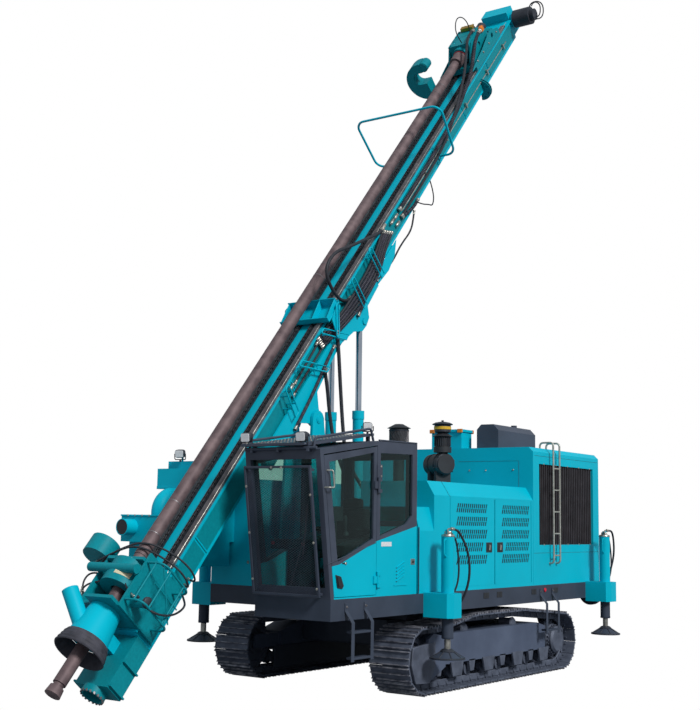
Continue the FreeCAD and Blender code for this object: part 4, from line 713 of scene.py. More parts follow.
# %% The loop's line
track_middle, wheel, half_base, shoe_count = 1.32, 0.44, 2.03, 51
arc = [(s, 1 - c) for c, s in circle(31, 6)]
rear_arc = [Vector((0, half_base + wheel * s, wheel * h)) for s, h in arc]
front_arc = [Vector((0, -half_base - wheel * s, wheel * h)) for s, h in arc[::-1]]
top_run = rounded([rear_arc[-1], (0, 0.72, 0.99), (0, -0.72, 0.99), (0, -1.35, 0.885), front_arc[0]], 2.2)
loop = rear_arc + top_run[1:-1] + front_arc + [rear_arc[0]]
runs = [(b - a).length for a, b in zip(loop, loop[1:])]
pitch = sum(runs) / shoe_count


def loop_place(travel):
    """Where a shoe sits after this much travel round the loop."""
    for a, b, run in zip(loop, loop[1:], runs):
        if travel <= run:
            spot, way = a.lerp(b, travel / run), (b - a).normalized()
            return Matrix.Translation(spot) @ Matrix.Rotation(math.atan2(way.z, way.y), 4, "X")
        travel -= run
    return loop_place(0)


print("shoe pitch", round(pitch, 3))

# %% [markdown]
# A walked-on grouser is polished where it meets rock and rusty-dark between,
# so its finish mixes bright and dark steel in small patches.

# %% Shoes and links
finish("worn_grouser", "track_steel", "A4A6B0", "3E4352", 0.09, (0.6, 0.35), 0.006, 0.0006, metal=0.5)
moves = [loop_place(pitch * (index + 0.5)) for index in range(shoe_count)]
shoe_half, half, grouser = 0.3, pitch / 2, mm("-10 26, -5 0, 5 0, 10 26")
for side, out in SIDES.items():
    mid = out * track_middle
    edge = mid - shoe_half + 0.002
    bed = block((mid - shoe_half, -half + 0.006, 0.024), (mid + shoe_half, half - 0.014, 0.046), 0.003)
    bars = [
        plate([(edge, y + w, z) for w, z in grouser], (2 * shoe_half - 0.004, 0, 0), 0.0015)
        for y in (-half + 0.02, -0.003, half - 0.028)
    ]
    heads = [
        drum((mid + x, y, 0.044), (mid + x, y, 0.06), 0.013, 0.001, sides=6)
        for x in (-0.15, -0.06, 0.06, 0.15)
        for y in (-0.045, 0.045)
    ]
    links = [
        block((mid + x, -half - 0.02, 0.046), (mid + x + 0.035, half - 0.01, 0.135), 0.01)
        for x in (-0.11, 0.075)
    ]
    bush = drum((mid - 0.12, half - 0.02, 0.09), (mid + 0.12, half - 0.02, 0.09), 0.03, sides=12)
    shoe = [bed, bush, *heads, *links]
    for label, coat, parts in (("shoes", "track_dip", shoe), ("grousers", "worn_grouser", bars)):
        first = joined(parts)
        ring = copied(first, moves)
        bpy.data.objects.remove(first)
        made = settle(f"{side}_track_{label}", coat, ring)
        if label == "shoes":
            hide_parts(f"track_{side}")

# %% [markdown]
# Between the loop and its beam run eight bottom rollers in guard plates, two
# carrier rollers on top, a dished idler at the front, and a toothed sprocket at
# the back with a ring of bolts on its drive cover.

# %% Profiles of the wheels
chain_height = 0.137
rim = wheel - chain_height


def both_ways(half_profile):
    """A profile of (radius, distance from the middle), made the same on both sides."""
    return [(r, -w) for r, w in half_profile] + [(r, w) for r, w in half_profile[::-1]]


idler_profile = both_ways(mm("0 90, 100 90, 110 50, 220 40, 230 85") + [(rim, 0.08), (rim + 0.018, 0.03)])
roller_profile = both_ways(mm("0 170, 45 170, 50 130, 100 120, 100 60, 80 50"))
carrier_profile = both_ways(mm("0 120, 60 120, 85 90, 70 30"))
cover_profile = mm("0 0, 235 0, 235 100, 200 125, 200 170, 170 200, 0 205")
tooth_reach = (rim - 0.035, rim, rim, rim - 0.035)
shield_outline = mm("-2270 620, -2300 400, -2200 160, -1860 140, -1720 340, -1720 660")
print("idler rim", round(rim, 3))

# %% Wheels and rollers
for side, out in SIDES.items():
    mid = out * track_middle

    def flared(inner, y, top, low, bottom):
        """A plate beside the rollers, wider at its top."""
        x = mid + out * inner
        return [(x, y - top, 0.36), (x, y + top, 0.36), (x, y + bottom, low), (x, y - bottom, low)]

    parts = [turned(idler_profile, (mid, -half_base, wheel), ACROSS, 48)]
    teeth = [
        (mid - 0.04, half_base + tooth_reach[k % 4] * s, wheel + tooth_reach[k % 4] * c)
        for k, (c, s) in enumerate(circle(88, 360 / 88))
    ]
    parts.append(plate(teeth, (0.08, 0, 0)))
    parts.append(turned(cover_profile, (mid, half_base, wheel), (out, 0, 0), 48))
    x = mid + out * 0.125
    for c, s in circle(24, 15):
        spot = Vector((x, half_base + 0.217 * c, wheel + 0.217 * s))
        parts.append(drum(spot, spot + Vector((out * 0.018, 0, 0)), 0.013, 0.001, sides=6))
    for index in range(8):
        y = -1.55 + index * 3.1 / 7
        parts.append(turned(roller_profile, (mid, y, chain_height + 0.1), ACROSS, 24))
        parts.append(plate(flared(0.15, y, 0.09, 0.2, 0.05), (out * 0.05, 0, 0), 0.004))
    for y in (-1.1, -0.22, 0.66, 1.5):
        parts.append(plate(flared(0.19, y, 0.17, 0.17, 0.12), (out * 0.03, 0, 0), 0.004))
    for y in (-0.72, 0.72):
        parts.append(turned(carrier_profile, (mid, y, 0.985 - chain_height - 0.085), ACROSS, 24))
        parts.append(block((mid - 0.05, y - 0.05, 0.58), (mid + 0.05, y + 0.05, 0.75), 0.01))
    gear = settle(f"{side}_running_wheels", "track_dip", parts)
    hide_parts(f"running_gear_{side}")
    shield = plate([(mid + out * 0.2, y, z) for y, z in shield_outline], (out * 0.05, 0, 0), 0.006)
    settle(f"{side}_idler_shield", "track_dip", shield)
print("running gear under both tracks")

# %% [markdown]
# ## The cab
# Expanded metal guards the windscreen from flying chips. One zigzag strand is
# bent, paired with its mirror, and stacked up the leaning plane. The frame round
# it is rolled angle with welded stays.

# %% Windscreen guard
lean_run, diamond, rows = 260 / 1730, 0.028, 52


def screen(x, height, out):
    """A point in front of the leaning cab front."""
    return Vector((x, -4.12 - (height - 1.3) * lean_run - out, height))


strands = [
    strand([screen(0.53 + 0.0235 * k, low + (zig if k % 2 else -zig), 0.078) for k in range(41)], 0.0021)
    for low, zig in ((1.36, 0.0066), (1.374, -0.0066))
]
mesh = row(joined(strands), steps_of(rows, y=-diamond * lean_run, z=diamond))
settle("windscreen_mesh", "cab_satin", mesh)
bars = []
for x0, z0, x1, z1 in mm("505 1320 1505 1350, 505 2812 1505 2840, 505 1350 533 2812, 1477 1350 1505 2812"):
    corners = [screen(x, z, 0.095) for x, z in ((x0, z0), (x1, z0), (x1, z1), (x0, z1))]
    bars.append(plate(corners, (0, 0.035, 0)))
for x in (0.515, 1.465):
    for z in (1.36, 2.79):
        bars.append(block(screen(x, z - 0.015, 0.07), screen(x + 0.03, z + 0.015, 0.002), 0.002))
frame_bars = settle("windscreen_guard_frame", "cab_satin", bars)
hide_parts("windscreen_guard")
spots = mm("528 1500, 528 2050, 528 2600, 930 2818, 1080 2818, 1482 1420, 1482 1950, 1482 2500")
bolts("windscreen_guard_bolts", [screen(x, z, 0.096) for x, z in spots], AHEAD, across=0.022)
print("diamond mesh of", len(mesh.data.polygons), "faces")

# %% [markdown]
# The roof guard is a plate with pressed studs for grip. Two square work lamps
# look forward from its front edge and one looks along the side. A work lamp is
# a cast housing with fins, a lens and a yoke on a foot.

# %% Roof studs and work lamps
finish("lamp_lens", "bare_steel", "F2F4F6", "DADFE4", 0.02, (0.08, 0.2), 0.01, 0.0004, 0.2, 0.6)
roof_rise, stud_pitch = (3.31 - 3.105) / (4.457 - 3.0), 0.13
stud = drum((0.52, -4.38, 3.114), (0.52, -4.38, 3.126), 0.013, sides=10, top=0.008)
moves = [
    Vector((i * 0.1 + (0.05 if k % 2 else 0), k * stud_pitch, k * stud_pitch * roof_rise))
    for i in range(9)
    for k in range(11)
]
settle("roof_guard_studs", "zinc_plate", row(stud, moves[1:]))


def octagon(wide, high, cut, y):
    """The outline of an oblong with cut corners, facing forward."""
    around = ((-cut, -1), (cut, -1), (1, -cut), (1, cut), (cut, 1), (-cut, 1), (-1, cut), (-1, -cut))
    return [(x * wide, y, z * high) for x, z in around]


def work_lamp(name, centre, facing, size=0.075):
    """A square lamp: housing, lens, yoke and foot, facing a level direction."""
    turn = Matrix.Translation(centre) @ Vector(facing).to_track_quat("-Y", "Z").to_matrix().to_4x4()
    arm, low = size + 0.012, -size * 1.15
    shell = plate(octagon(size, size * 0.8, 0.7, -0.02), (0, 0.07, 0), 0.012)
    tall, fins = size * 0.6, []
    for x in (-0.04, -0.015, 0.01, 0.035):
        fins.append(block((x, 0.04, -tall), (x + 0.006, 0.085, tall), 0.001))
    yoke = bent([(-arm, 0.01, 0), (-arm, 0.01, low), (arm, 0.01, low), (arm, 0.01, 0)], 0.007, 0.02)
    foot = drum((0, 0.01, low - 0.03), (0, 0.01, -size * 1.1), 0.014)
    settle(name + "_housing", "cast_black", [shell, yoke, foot, *fins], place=turn)
    lens = plate(octagon(size * 0.86, size * 0.66, 0.8, -0.024), (0, 0.008, 0))
    settle(name + "_lens", "lamp_lens", lens, place=turn)


work_lamp("front_right_lamp", (0.52, -4.43, 3.185), (0, -1, -0.12))
work_lamp("front_left_lamp", (1.36, -4.43, 3.175), (0, -1, -0.12))
work_lamp("roof_side_lamp", (1.36, -3.06, 3.4), (0.6, -0.8, -0.1), size=0.06)
rails = [
    bent([(0.5, -4.405, 3.045), (1.57, -4.405, 3.045)], 0.02),
    bent(mm("490 -4380 3090, 490 -4440 3090, 1420 -4440 3090, 1420 -4380 3090"), 0.014, 0.03),
]
for x, front_top, rear_top in ((1.45, 3.17, 3.36), (0.47, 3.16, 3.33)):
    rail = [(x, -4.3, 3.05), (x, -4.28, front_top), (x, -3.12, rear_top), (x, -3.06, 3.21)]
    rails.append(bent(rail, 0.016))
rails += [block((x - 0.02, -4.425, 3.0), (x + 0.02, -4.37, 3.065), 0.003) for x in (0.6, 1.0, 1.45)]
settle("roof_rails", "cab_satin", rails)

# %% [markdown]
# The door is sheet steel below the belt line and a welded frame above it. It
# carries a bent grab handle, a paddle latch in a black cup and a lock. Behind
# it the fixed panel has slanted cooling slots, a second lock and a blank plate
# where a label would go.

# %% Door and side panel fittings
wall = 1.6  # the side walls stand this far out
grab = mm("1600 -4275 2590, 1672 -4275 2590, 1672 -4180 2590, 1672 -4210 2790, 1600 -4240 2790")
settle("door_grab_handle", "galvanised_tube", bent(grab, 0.009, 0.025), "cab_door")
cup_outline = mm("-4040 1585, -3930 1560, -3872 1450, -3900 1418, -4000 1430")
paddle_outline = mm("-4020 1560, -3970 1550, -3940 1450, -3990 1445")
cup = plate([(wall, y, z) for y, z in cup_outline], (0.012, 0, 0), 0.004)
paddle = plate([(1.61, y, z) for y, z in paddle_outline], (0.014, 0, 0))
settle("door_latch", "moulded_plastic", [cup, paddle], "cab_door")
settle("door_lock", "zinc_plate", drum((1.598, -3.835, 1.712), (1.612, -3.835, 1.712), 0.017), "cab_door")
tab = block((1.598, -3.9, 1.704), (1.606, -3.85, 1.722), 0.002)
settle("door_lock_tab", "moulded_plastic", tab, "cab_door")
belt = bent([(1.603, -4.2, 1.705), (1.603, -3.2, 1.955)], 0.006, sides=1)
settle("door_belt_moulding", "cab_satin", belt, "cab_door")
# The slots are thin black plates under the teal lips: painted shade for the dark openings.
for name, coat, outline, thick, edge in (
    ("slots", "moulded_plastic", "0 -2740 0, 0 -2560 75, 0 -2560 92, 0 -2740 17", (0.003, 0, 0), 0.0008),
    ("louvre_lips", "teal_enamel", "0 -2740 17, 0 -2560 92, 18 -2560 86, 18 -2740 11", (0, 0, 0.004), 0.001),
):
    parts = []
    for level in (1.46, 1.502, 1.544, 1.586, 1.628):
        parts.append(plate([(wall + x, y, level + z) for x, y, z in mm(outline)], thick, edge))
    settle(f"side_panel_{name}", coat, parts)
settle("side_panel_drip_line", "teal_enamel", block((1.598, -2.79, 1.418), (1.607, -2.5, 1.428), 0.001))
settle("side_lock_plate", "zinc_plate", block((1.598, -2.4, 1.67), (1.604, -2.3, 1.745), 0.002))
settle("side_lock", "moulded_plastic", drum((wall, -2.35, 1.708), (1.612, -2.35, 1.708), 0.018))
settle("blank_label", "lamp_lens", block((1.598, -3.08, 1.905), (1.603, -2.85, 1.96), 0.001))
trim = [
    block((1.598, -2.206, 1.31), (1.604, -2.196, 2.15), 0.001),
    bent([(1.602, -3.16, 3.21), (1.602, -2.275, 3.225)], 0.01, sides=1),
]
settle("cab_rear_trim", "cab_satin", trim)
settle("upper_hinge_cover", "cab_satin", block((wall, -3.19, 2.74), (1.609, -3.08, 2.91), 0.002))
bolts("upper_hinge_bolts", [(1.609, -3.11, z) for z in (2.765, 2.885)], ACROSS, across=0.018)

# %% [markdown]
# Through the glass show a suspended seat with bolsters, two joysticks, a bar of
# switches low behind the windscreen and a wiper. A cushion is foam in a sewn
# cover: a block whose edges are drawn in and whose middle is crowned.


# %% Seat and controls
def cushion(name, low, high, crown):
    """A stuffed block: edges drawn in, faces crowned outwards."""
    low, high = Vector(low), Vector(high)
    finer = lambda: bpy.ops.mesh.subdivide(number_cuts=3, smoothness=0.2)
    piece = work(cube(low, high), eased(0.03, 4), all_of_it, finer)
    middle, half = (low + high) / 2, (high - low) / 2
    for spot in piece.data.vertices:
        away = spot.co - middle
        spread = [max(0.0, 1 - (away[i] / half[i]) ** 2) for i in range(3)]
        for i in range(3):
            others = spread[(i + 1) % 3] * spread[(i + 2) % 3]
            spot.co[i] += math.copysign(crown * others, away[i]) * min(1, abs(away[i]) / half[i])
    settle(name, "seat_cloth", piece, smooth=80)
    return piece


base = cushion("seat_cushion", (0.8, -3.38, 1.83), (1.27, -2.9, 1.96), 0.018)
cushion("seat_back", (0.81, -2.94, 1.93), (1.26, -2.82, 2.36), 0.016)
cushion("seat_headrest", (0.9, -2.93, 2.37), (1.17, -2.84, 2.49), 0.01)
for k, x in enumerate((0.785, 1.225)):
    cushion(f"seat_bolster_{k}", (x, -3.37, 1.85), (x + 0.06, -2.92, 1.985), 0.008)
for k, x in enumerate((0.69, 1.31)):
    cushion(f"armrest_{k}", (x, -3.25, 2.08), (x + 0.07, -2.88, 2.13), 0.006)
parts = [block((0.86, -3.32, 1.358), (1.21, -2.92, 1.5), 0.01)]
for k in range(6):
    fold, z = 0.012 * (k % 2), 1.5 + 0.04 * k
    parts.append(block((0.87 + fold, -3.3 + fold, z), (1.2 - fold, -2.94 - fold, z + 0.04), 0.008))
parts.append(block((0.8, -3.37, 1.74), (1.27, -2.87, 1.84), 0.012))
parts.append(block((0.83, -2.83, 1.8), (1.24, -2.78, 2.34), 0.015))
parts += [block((x, -2.86, 1.95), (x + 0.04, -2.82, 2.09), 0.006) for x in (0.71, 1.32)]
settle("seat_suspension", "moulded_plastic", parts)
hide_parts("operator_seat")
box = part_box("control_consoles")
grip = mm("0 0, 35 0, 30 30, 12 50, 10 120, 22 150, 24 210, 15 235, 0 240")
sticks = [turned(grip, (x, -3.5, box[1][2] - 0.02), (0, -0.1, 1), 16) for x in (0.7, 1.365)]
settle("joysticks", "moulded_plastic", sticks)
dash = [
    block((0.62, -4.05, 1.86), (1.2, -3.93, 1.98), 0.015),
    block((0.88, -4.03, 1.36), (0.96, -3.95, 1.88), 0.01),
    block((1.36, -3.86, 2.2), (1.41, -3.62, 2.38), 0.012),
    bent([(1.38, -3.74, 1.98), (1.38, -3.74, 2.22)], 0.012),
]
settle("dashboard", "moulded_plastic", dash)
finish("red_button", "dark_plastic", "C8283A", "A81E2E", 0.02, (0.3, 0.45), 0.002, 0.0001)
knobs = [drum((x, -4.05, 1.93), (x, -4.075, 1.93), 0.022, 0.004) for x in (0.68, 1.14)]
settle("emergency_buttons", "red_button", knobs)
wiper = [
    bent([screen(1.0, 1.45, -0.045), screen(1.02, 1.46, -0.02), screen(1.3, 2.1, -0.025)], 0.006),
    bent([screen(1.22, 1.8, -0.03), screen(1.34, 2.4, -0.03)], 0.008),
]
settle("wiper", "moulded_plastic", wiper)
print("cab fitted,", made_count, "pieces so far")

# %% [markdown]
# ## Service doors
# The bays behind the cab shut with two sheet-steel doors a side. Air gets in
# through five rows of slots in two staggered tiers. One slot is drawn, repeated
# along the rows and cut out in one go; the row beside the latch is shorter.
# Each door closes with a square black flush latch.

# %% Slotted doors and latches
slot_rows, short_row, slot_pitch = (2.479, 2.3, 2.124, 1.948, 1.776), 1.948, 0.0565
sill, lintel = 1.352, 2.553
slot_outline, grip_outline = mm("-4 0, 30 0, 50 58, 16 58"), mm("-20 1835, 12 1835, 30 1900, -4 1915")
for side, out in SIDES.items():
    for part, y0, y1, first, last, latch in (
        ("front", -1.408, -0.172, -1.235, -0.393, -0.335),
        ("rear", -0.148, 0.968, 0.06, 0.905, -0.01),
    ):
        name, body = f"{side}_{part}", f"{side}_{part}_service_door"

        def sheet(inner, outer, near, far, low, high, edge=0.002):
            """A block between two distances from the machine's middle."""
            return block((out * inner, near, low), (out * outer, far, high), edge)

        door = sheet(1.596, wall, y0, y1, sill, lintel, 0.0015)
        spots = []
        for top in slot_rows:
            y, end = first, last
            if top == short_row:
                y, end = (first, last - 0.1) if part == "front" else (first + 0.11, last)
            while y < end - 0.03:
                spots += [(y + 0.012, top - 0.061), (y - 0.01, top - 0.126)]
                y += slot_pitch
        a0, b0 = spots[0]
        tool = plate([(out * 1.56, a0 + y, b0 + z) for y, z in slot_outline], (out * 0.06, 0, 0), 0.0004)
        carved(door, row(tool, [(0, a - a0, b - b0) for a, b in spots[1:]]))
        settle(f"{name}_door_skin", "teal_enamel", door, body)
        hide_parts(f"{side}_bay_door_{part}")
        ribs = [sheet(1.56, 1.574, y0 + 0.02, y1 - 0.02, z, z + 0.04) for z in (1.37, 1.6, 2.505)]
        ribs += [sheet(1.574, 1.597, y, y + 0.03, sill, lintel) for y in (y0, y1 - 0.03)]
        ribs += [sheet(1.574, 1.597, y0 + 0.03, y1 - 0.03, z, z + 0.03) for z in (sill, lintel - 0.03)]
        settle(f"{name}_door_ribs", "teal_enamel", ribs, body)
        # A black sheet just behind the slots is painted shade: it makes the slots read dark, as the shaded
        # bay behind them would.
        shade_backing = sheet(1.562, 1.5925, y0 + 0.04, y1 - 0.04, 1.645, 2.497, 0.001)
        settle(f"{name}_door_lining", "moulded_plastic", shade_backing, body)
        box = sheet(wall, 1.606, latch - 0.085, latch + 0.085, 1.805, 1.945, 0.003)
        cup = sheet(1.604, 1.611, latch - 0.06, latch + 0.06, 1.825, 1.925, 0.003)
        settle(f"{name}_latch", "moulded_plastic", [box, cup], body)
        grip = plate([(out * 1.611, latch + y, z) for y, z in grip_outline], (out * 0.008, 0, 0), 0.002)
        settle(f"{name}_latch_grip", "zinc_plate", grip, body)
print("service doors slotted")

# %% [markdown]
# Sheet panels meet in narrow gaps with a rubber seal in them. On the hood's
# front the big access panel is held by screws, and a seam runs along the hood's
# sides at the level where its base ends.

# %% Panel seams and screws
seams = (
    "1600 -1412 2560, 1600 -1440 2575, 1482 -1450 2760, 430 -1450 2760",
    "1600 1060 1780, 1600 3420 1780",
    "1600 1090 3250, 1600 3420 3250",
    "1360 1045 2770, 1360 1045 3170, 300 1045 3170",
    "-1600 1060 1780, -1600 3420 1780",
    "-1600 -1412 2560, -1482 -1450 2760",
)
settle("sheet_seams", "moulded_plastic", [strand(mm(line), 0.0025) for line in seams])
bolts("hood_panel_screws", [(x, 1.045, 3.03) for x in (0.5, 0.79, 1.26)], AHEAD, across=0.02)
bolts("tank_bolts", mm("-930 -2595 1620, -1400 -2595 1620, -930 -2595 2600"), AHEAD, across=0.03)

# %% [markdown]
# ## Cooler grilles
# The radiators stand behind a guard of upright flat bars with thin cross wires.
# The brown fins of the cores show between the bars. The same bar is repeated
# along each opening.

# %% Bars over the radiators
bar_pitch = 0.0675
for side, out in SIDES.items():
    upright = block((out * 1.563, 1.262, 1.905), (out * 1.585, 1.284, 3.125), 0.002)
    run = row(upright, steps_of(29, y=bar_pitch))
    wire = strand([(out * 1.562, 1.25, 1.95), (out * 1.562, 3.22, 1.95)], 0.003)
    settle(f"{side}_grille_bars", "grille_satin", [run, row(wire, steps_of(22, z=0.055))])
    tabs = [
        block((out * 1.59, 1.4 + 0.42 * k, z), (out * 1.604, 1.43 + 0.42 * k, z + 0.022), 0.002)
        for k in range(5)
        for z in (1.893, 3.12)
    ]
    settle(f"{side}_grille_tabs", "zinc_plate", tabs)
rear = block((-1.13, 3.41, 2.02), (-1.108, 3.432, 3.1), 0.002)
settle("rear_grille_bars", "grille_satin", row(rear, steps_of(34, x=bar_pitch)))

# %% [markdown]
# ## Air intakes
# Two rain-capped pre-cleaners feed the engine's air cleaner. One has a bowl under
# a yellow band; the other breathes through a band of wire mesh. The cleaner is a
# pressed drum whose ribbed lid is shut by over-centre clips.

# %% Air cleaner and caps
finish("yellow_band", "dark_plastic", "E0B63A", "C99C28", 0.03, (0.4, 0.55), 0.002, 0.0001)
finish("orange_paint", "body_paint", "E4822C", "C76D20", 0.05, (0.4, 0.55), 0.003, 0.0001)
bowl_x, bowl_y, mesh_x, mesh_y = 0.812, -0.305, 0.5, -1.0
band = turned(mm("122 0, 127 2, 127 42, 122 44"), (bowl_x, bowl_y, 3.565), sides=40)
settle("yellow_band", "yellow_band", band)
ring = mm("138 0, 146 4, 146 20, 138 24")
caps = [
    turned(mm("100 0, 120 12, 123 100, 116 118, 50 122"), (bowl_x, bowl_y, 3.52), sides=40),
    turned(mm("0 0, 150 0, 153 10, 110 32, 50 44, 0 46"), (bowl_x, bowl_y, 3.637), sides=40),
    drum((bowl_x, bowl_y, 3.675), (bowl_x, bowl_y, 3.705), 0.018),
    drum((mesh_x, mesh_y, 3.58), (mesh_x, mesh_y, 3.604), 0.02),
    turned(ring, (mesh_x, mesh_y, 3.32), sides=40),
    turned(ring, (mesh_x, mesh_y, 3.5), sides=40),
]
fin = block((bowl_x + 0.109, bowl_y - 0.003, 3.32), (bowl_x + 0.122, bowl_y + 0.003, 3.46), 0.001)
settle("pre_cleaner_caps", "cast_black", [*caps, row(fin, spun(bowl_x, bowl_y, 24, 15))])
rods = []
for low, high in zip(circle(40, 9), circle(40, 9, math.degrees(0.25))):
    ends = [(mesh_x + 0.141 * c, mesh_y + 0.141 * s, z) for (c, s), z in ((low, 3.345), (high, 3.5))]
    rods.append(strand(ends, 0.0022))
settle("pre_cleaner_mesh", "worn_steel", rods)
cleaner, lid_axis, side_way = Vector((0.89, -0.35, 3.06)), Vector((0.866, -0.5, 0)), Vector((0.5, 0.866, 0))


def round_cleaner(along, reach, c, s):
    """A point beside the lying cleaner, from its lid's centre."""
    return cleaner + lid_axis * along + (side_way * c + Vector((0, 0, s))) * reach


lid_profile = mm("0 0, 60 4, 65 -6, 100 -6, 106 6, 138 6, 152 -4, 159 -30, 159 -60, 150 -62")
lid = [turned(lid_profile, cleaner + lid_axis * 0.005, lid_axis, 48)]
for c, s in circle(6, 60, 20):
    clip = [round_cleaner(along, reach, c, s) for along, reach in mm("-95 158, -55 172, -15 168, 9 148")]
    lid.append(bent(clip, 0.006, 0.01))
settle("air_cleaner_lid", "cast_black", lid)
cradle = []
for push in (-0.28, -0.1):
    for way in (-0.11, 0.11):
        foot = cleaner + Vector((0, 0, -0.3)) + lid_axis * push + side_way * way
        low, high = Vector((-0.015, -0.015, -0.002)), Vector((0.015, 0.015, 0.2))
        cradle.append(block(foot + low, foot + high, 0.003))
    strap = [round_cleaner(push, 0.158, c, s) for c, s in circle(24, 15)]
    cradle.append(bent(strap, 0.007, 0, 1, closed=True))
settle("air_cleaner_cradle", "cast_black", cradle)
ears = [block((x, y, 3.64), (x + 0.09, y + 0.03, 3.7), 0.006) for x in (-0.292, 0.222) for y in (1.13, 1.49)]
settle("cooler_box_lifting_ears", "orange_paint", ears)

# %% [markdown]
# ## Jacks
# Four jacks level the rig. Each teal barrel ends in a black sleeve, from which a
# bright rod carries a ribbed pad. Two bent steel pipes leave the barrel's head
# for the hoses that run down to the deck, and one links its two ports.

# %% Profiles and hose lines of a jack
sleeve_profile, seal_profile = mm("71.5 0, 76 3, 76 250, 71.5 253"), mm("37 0, 74 0, 78 6, 78 30, 37 30")
tip_profile, gland_profile = mm("35.5 0, 40.5 2, 40.5 130, 35.5 132"), mm("40 0, 87 0, 89 10, 80 30, 40 34")
collar_profile = mm("0 0, 90 0, 96 20, 70 45, 50 50, 0 50")
pad_profile, pad_rib = mm("200 0, 229 0, 231 6, 229 18, 200 24"), mm("70 595, 222 503, 222 492, 70 492")
front_sweep = mm("0 250 2090, 50 370 1870, 60 420 1630, 30 435 1420, -50 420 1200, -150 370 1080")
rear_sweep = mm("0 240 2120, -40 400 1970, -80 500 1740, -120 460 1500, -160 360 1300, -200 270 1180")
short_drop = mm("70 2078, 130 2075, 190 2050, 270 1970, 330 1750, 340 1500")
places = {"left_front": (1.865, -1.92), "left_rear": (1.865, 3.06)}
places.update({"right_front": (-1.865, -2.43), "right_rear": (-1.865, 3.06)})
print(len(places), "jacks")

# %% Sleeves, pads, pipes and hoses
for label, (x, y) in places.items():
    out, jack = 1 if x > 0 else -1, f"{label}_jack"
    sleeve = turned(sleeve_profile, (x, y, 0.742))
    seal = turned(seal_profile, (x, y, 0.735))
    settle(f"{jack}_sleeve", "chassis_enamel", [sleeve, seal])
    settle(f"{jack}_rod_end", "zinc_plate", turned(tip_profile, (x, y, 0.598)), jack)
    pad = [turned(collar_profile, (x, y, 0.56))]
    for c, s in circle(8, 45):
        rib = [(x + r * c - 0.006 * s, y + r * s + 0.006 * c, z) for r, z in pad_rib]
        pad.append(plate(rib, (0.012 * s, -0.012 * c, 0), 0.002))
    pad.append(turned(pad_profile, (x, y, 0.483), sides=40))
    settle(f"{jack}_pad_ribs", "cast_black", pad, jack)
    pipes = [
        bent([(x + 0.02, y + dy, z) for dy, z in mm("-40 2060, -40 2130, 48 2130")], 0.012, 0.03),
        bent([(x - 0.03, y + dy, z) for dy, z in mm("10 2050, 10 2078, 72 2078")], 0.012, 0.02),
    ]
    for dx, dy in ((0.03, -0.03), (-0.03, 0.0), (0.0, 0.05)):
        pipes.append(drum((x + dx, y + dy, 2.04), (x + dx, y + dy, 2.1), 0.024, sides=6))
    pipes.append(turned(gland_profile, (x, y, 2.03)))
    settle(f"{jack}_pipes", "zinc_plate", pipes)
    link = [(x + out * 0.02, y + dy, z) for dy, z in mm("-70 2000, -125 1990, -125 1800, -70 1770")]
    settle(f"{jack}_link_pipe", "teal_enamel", bent(link, 0.011, 0.04))
    sweep = front_sweep if label.endswith("front") else rear_sweep
    line = [(x + 0.02, y + 0.045, 2.13), (x + 0.022, y + 0.13, 2.13)]
    line += [(x + 0.03 + out * bow, y + dy, z) for bow, dy, z in sweep]
    line.append((x - out * 0.248, y + sweep[-1][1] - 0.02, sweep[-1][2] - 0.01))
    hose(f"{jack}_hose_a", line, 0.016)
    line = [(x - 0.03, y + dy, z) for dy, z in short_drop]
    line += [(x - out * bow, y + dy, z) for bow, dy, z in mm("70 300 1300, 170 250 1190, 240 220 1170")]
    hose(f"{jack}_hose_b", line, 0.0125)
print("jacks plumbed")

# %% [markdown]
# ## Chassis side
# The chassis rail carries a red marker lamp, lifting sockets and the hanging
# steps' bolts.

# %% Marker lamp, sockets and step bolts
finish("red_lens", "dark_plastic", "D8263C", "B01C30", 0.02, (0.1, 0.2), 0.003, 0.0002)
settle("red_marker", "red_lens", drum((1.598, 1.42, 1.225), (1.616, 1.42, 1.225), 0.032, 0.006))
sockets = [
    block((1.598, y - 0.04, 1.17), (1.607, y + 0.04, 1.25), 0.003)
    for y in (-0.45, -0.38, -0.06, 0.01, 1.02, 1.09, 1.75, 1.83)
]
settle("rail_sockets", "moulded_plastic", sockets)
bolts("step_bolts", [(1.612, y, 1.205) for y in (-3.81, -3.41, 1.28, 1.68)], ACROSS, coat="worn_steel")
print(made_count, "pieces so far,", len(hose_list), "hoses")

# %% [markdown]
# ## Feed chains
# Two roller chains pull the drill head along the mast. A link is two side plates
# on two pins; one is modelled and repeated down both runs, above the plain
# chain solids.

# %% Chain links
chain_pitch, link_count = 0.0762, 174
parts = [block((x, -0.014, -0.05), (x + 0.004, 0.014, 0.05)) for x in (-0.016, 0.012)]
parts += [drum((-0.02, 0, z), (0.02, 0, z), 0.0095, 0.001, sides=12) for z in (-0.0381, 0.0381)]
link = joined(parts)
first_links = copied(link, [(x, -0.895, -4.05) for x in (-0.12, 0.12)])
bpy.data.objects.remove(link)
runs = [row(first, steps_of(link_count, z=chain_pitch)) for first in first_links]
on_mast("feed_chain_links", "rolled_chain", runs)
print("chain links:", link_count * len(first_links))
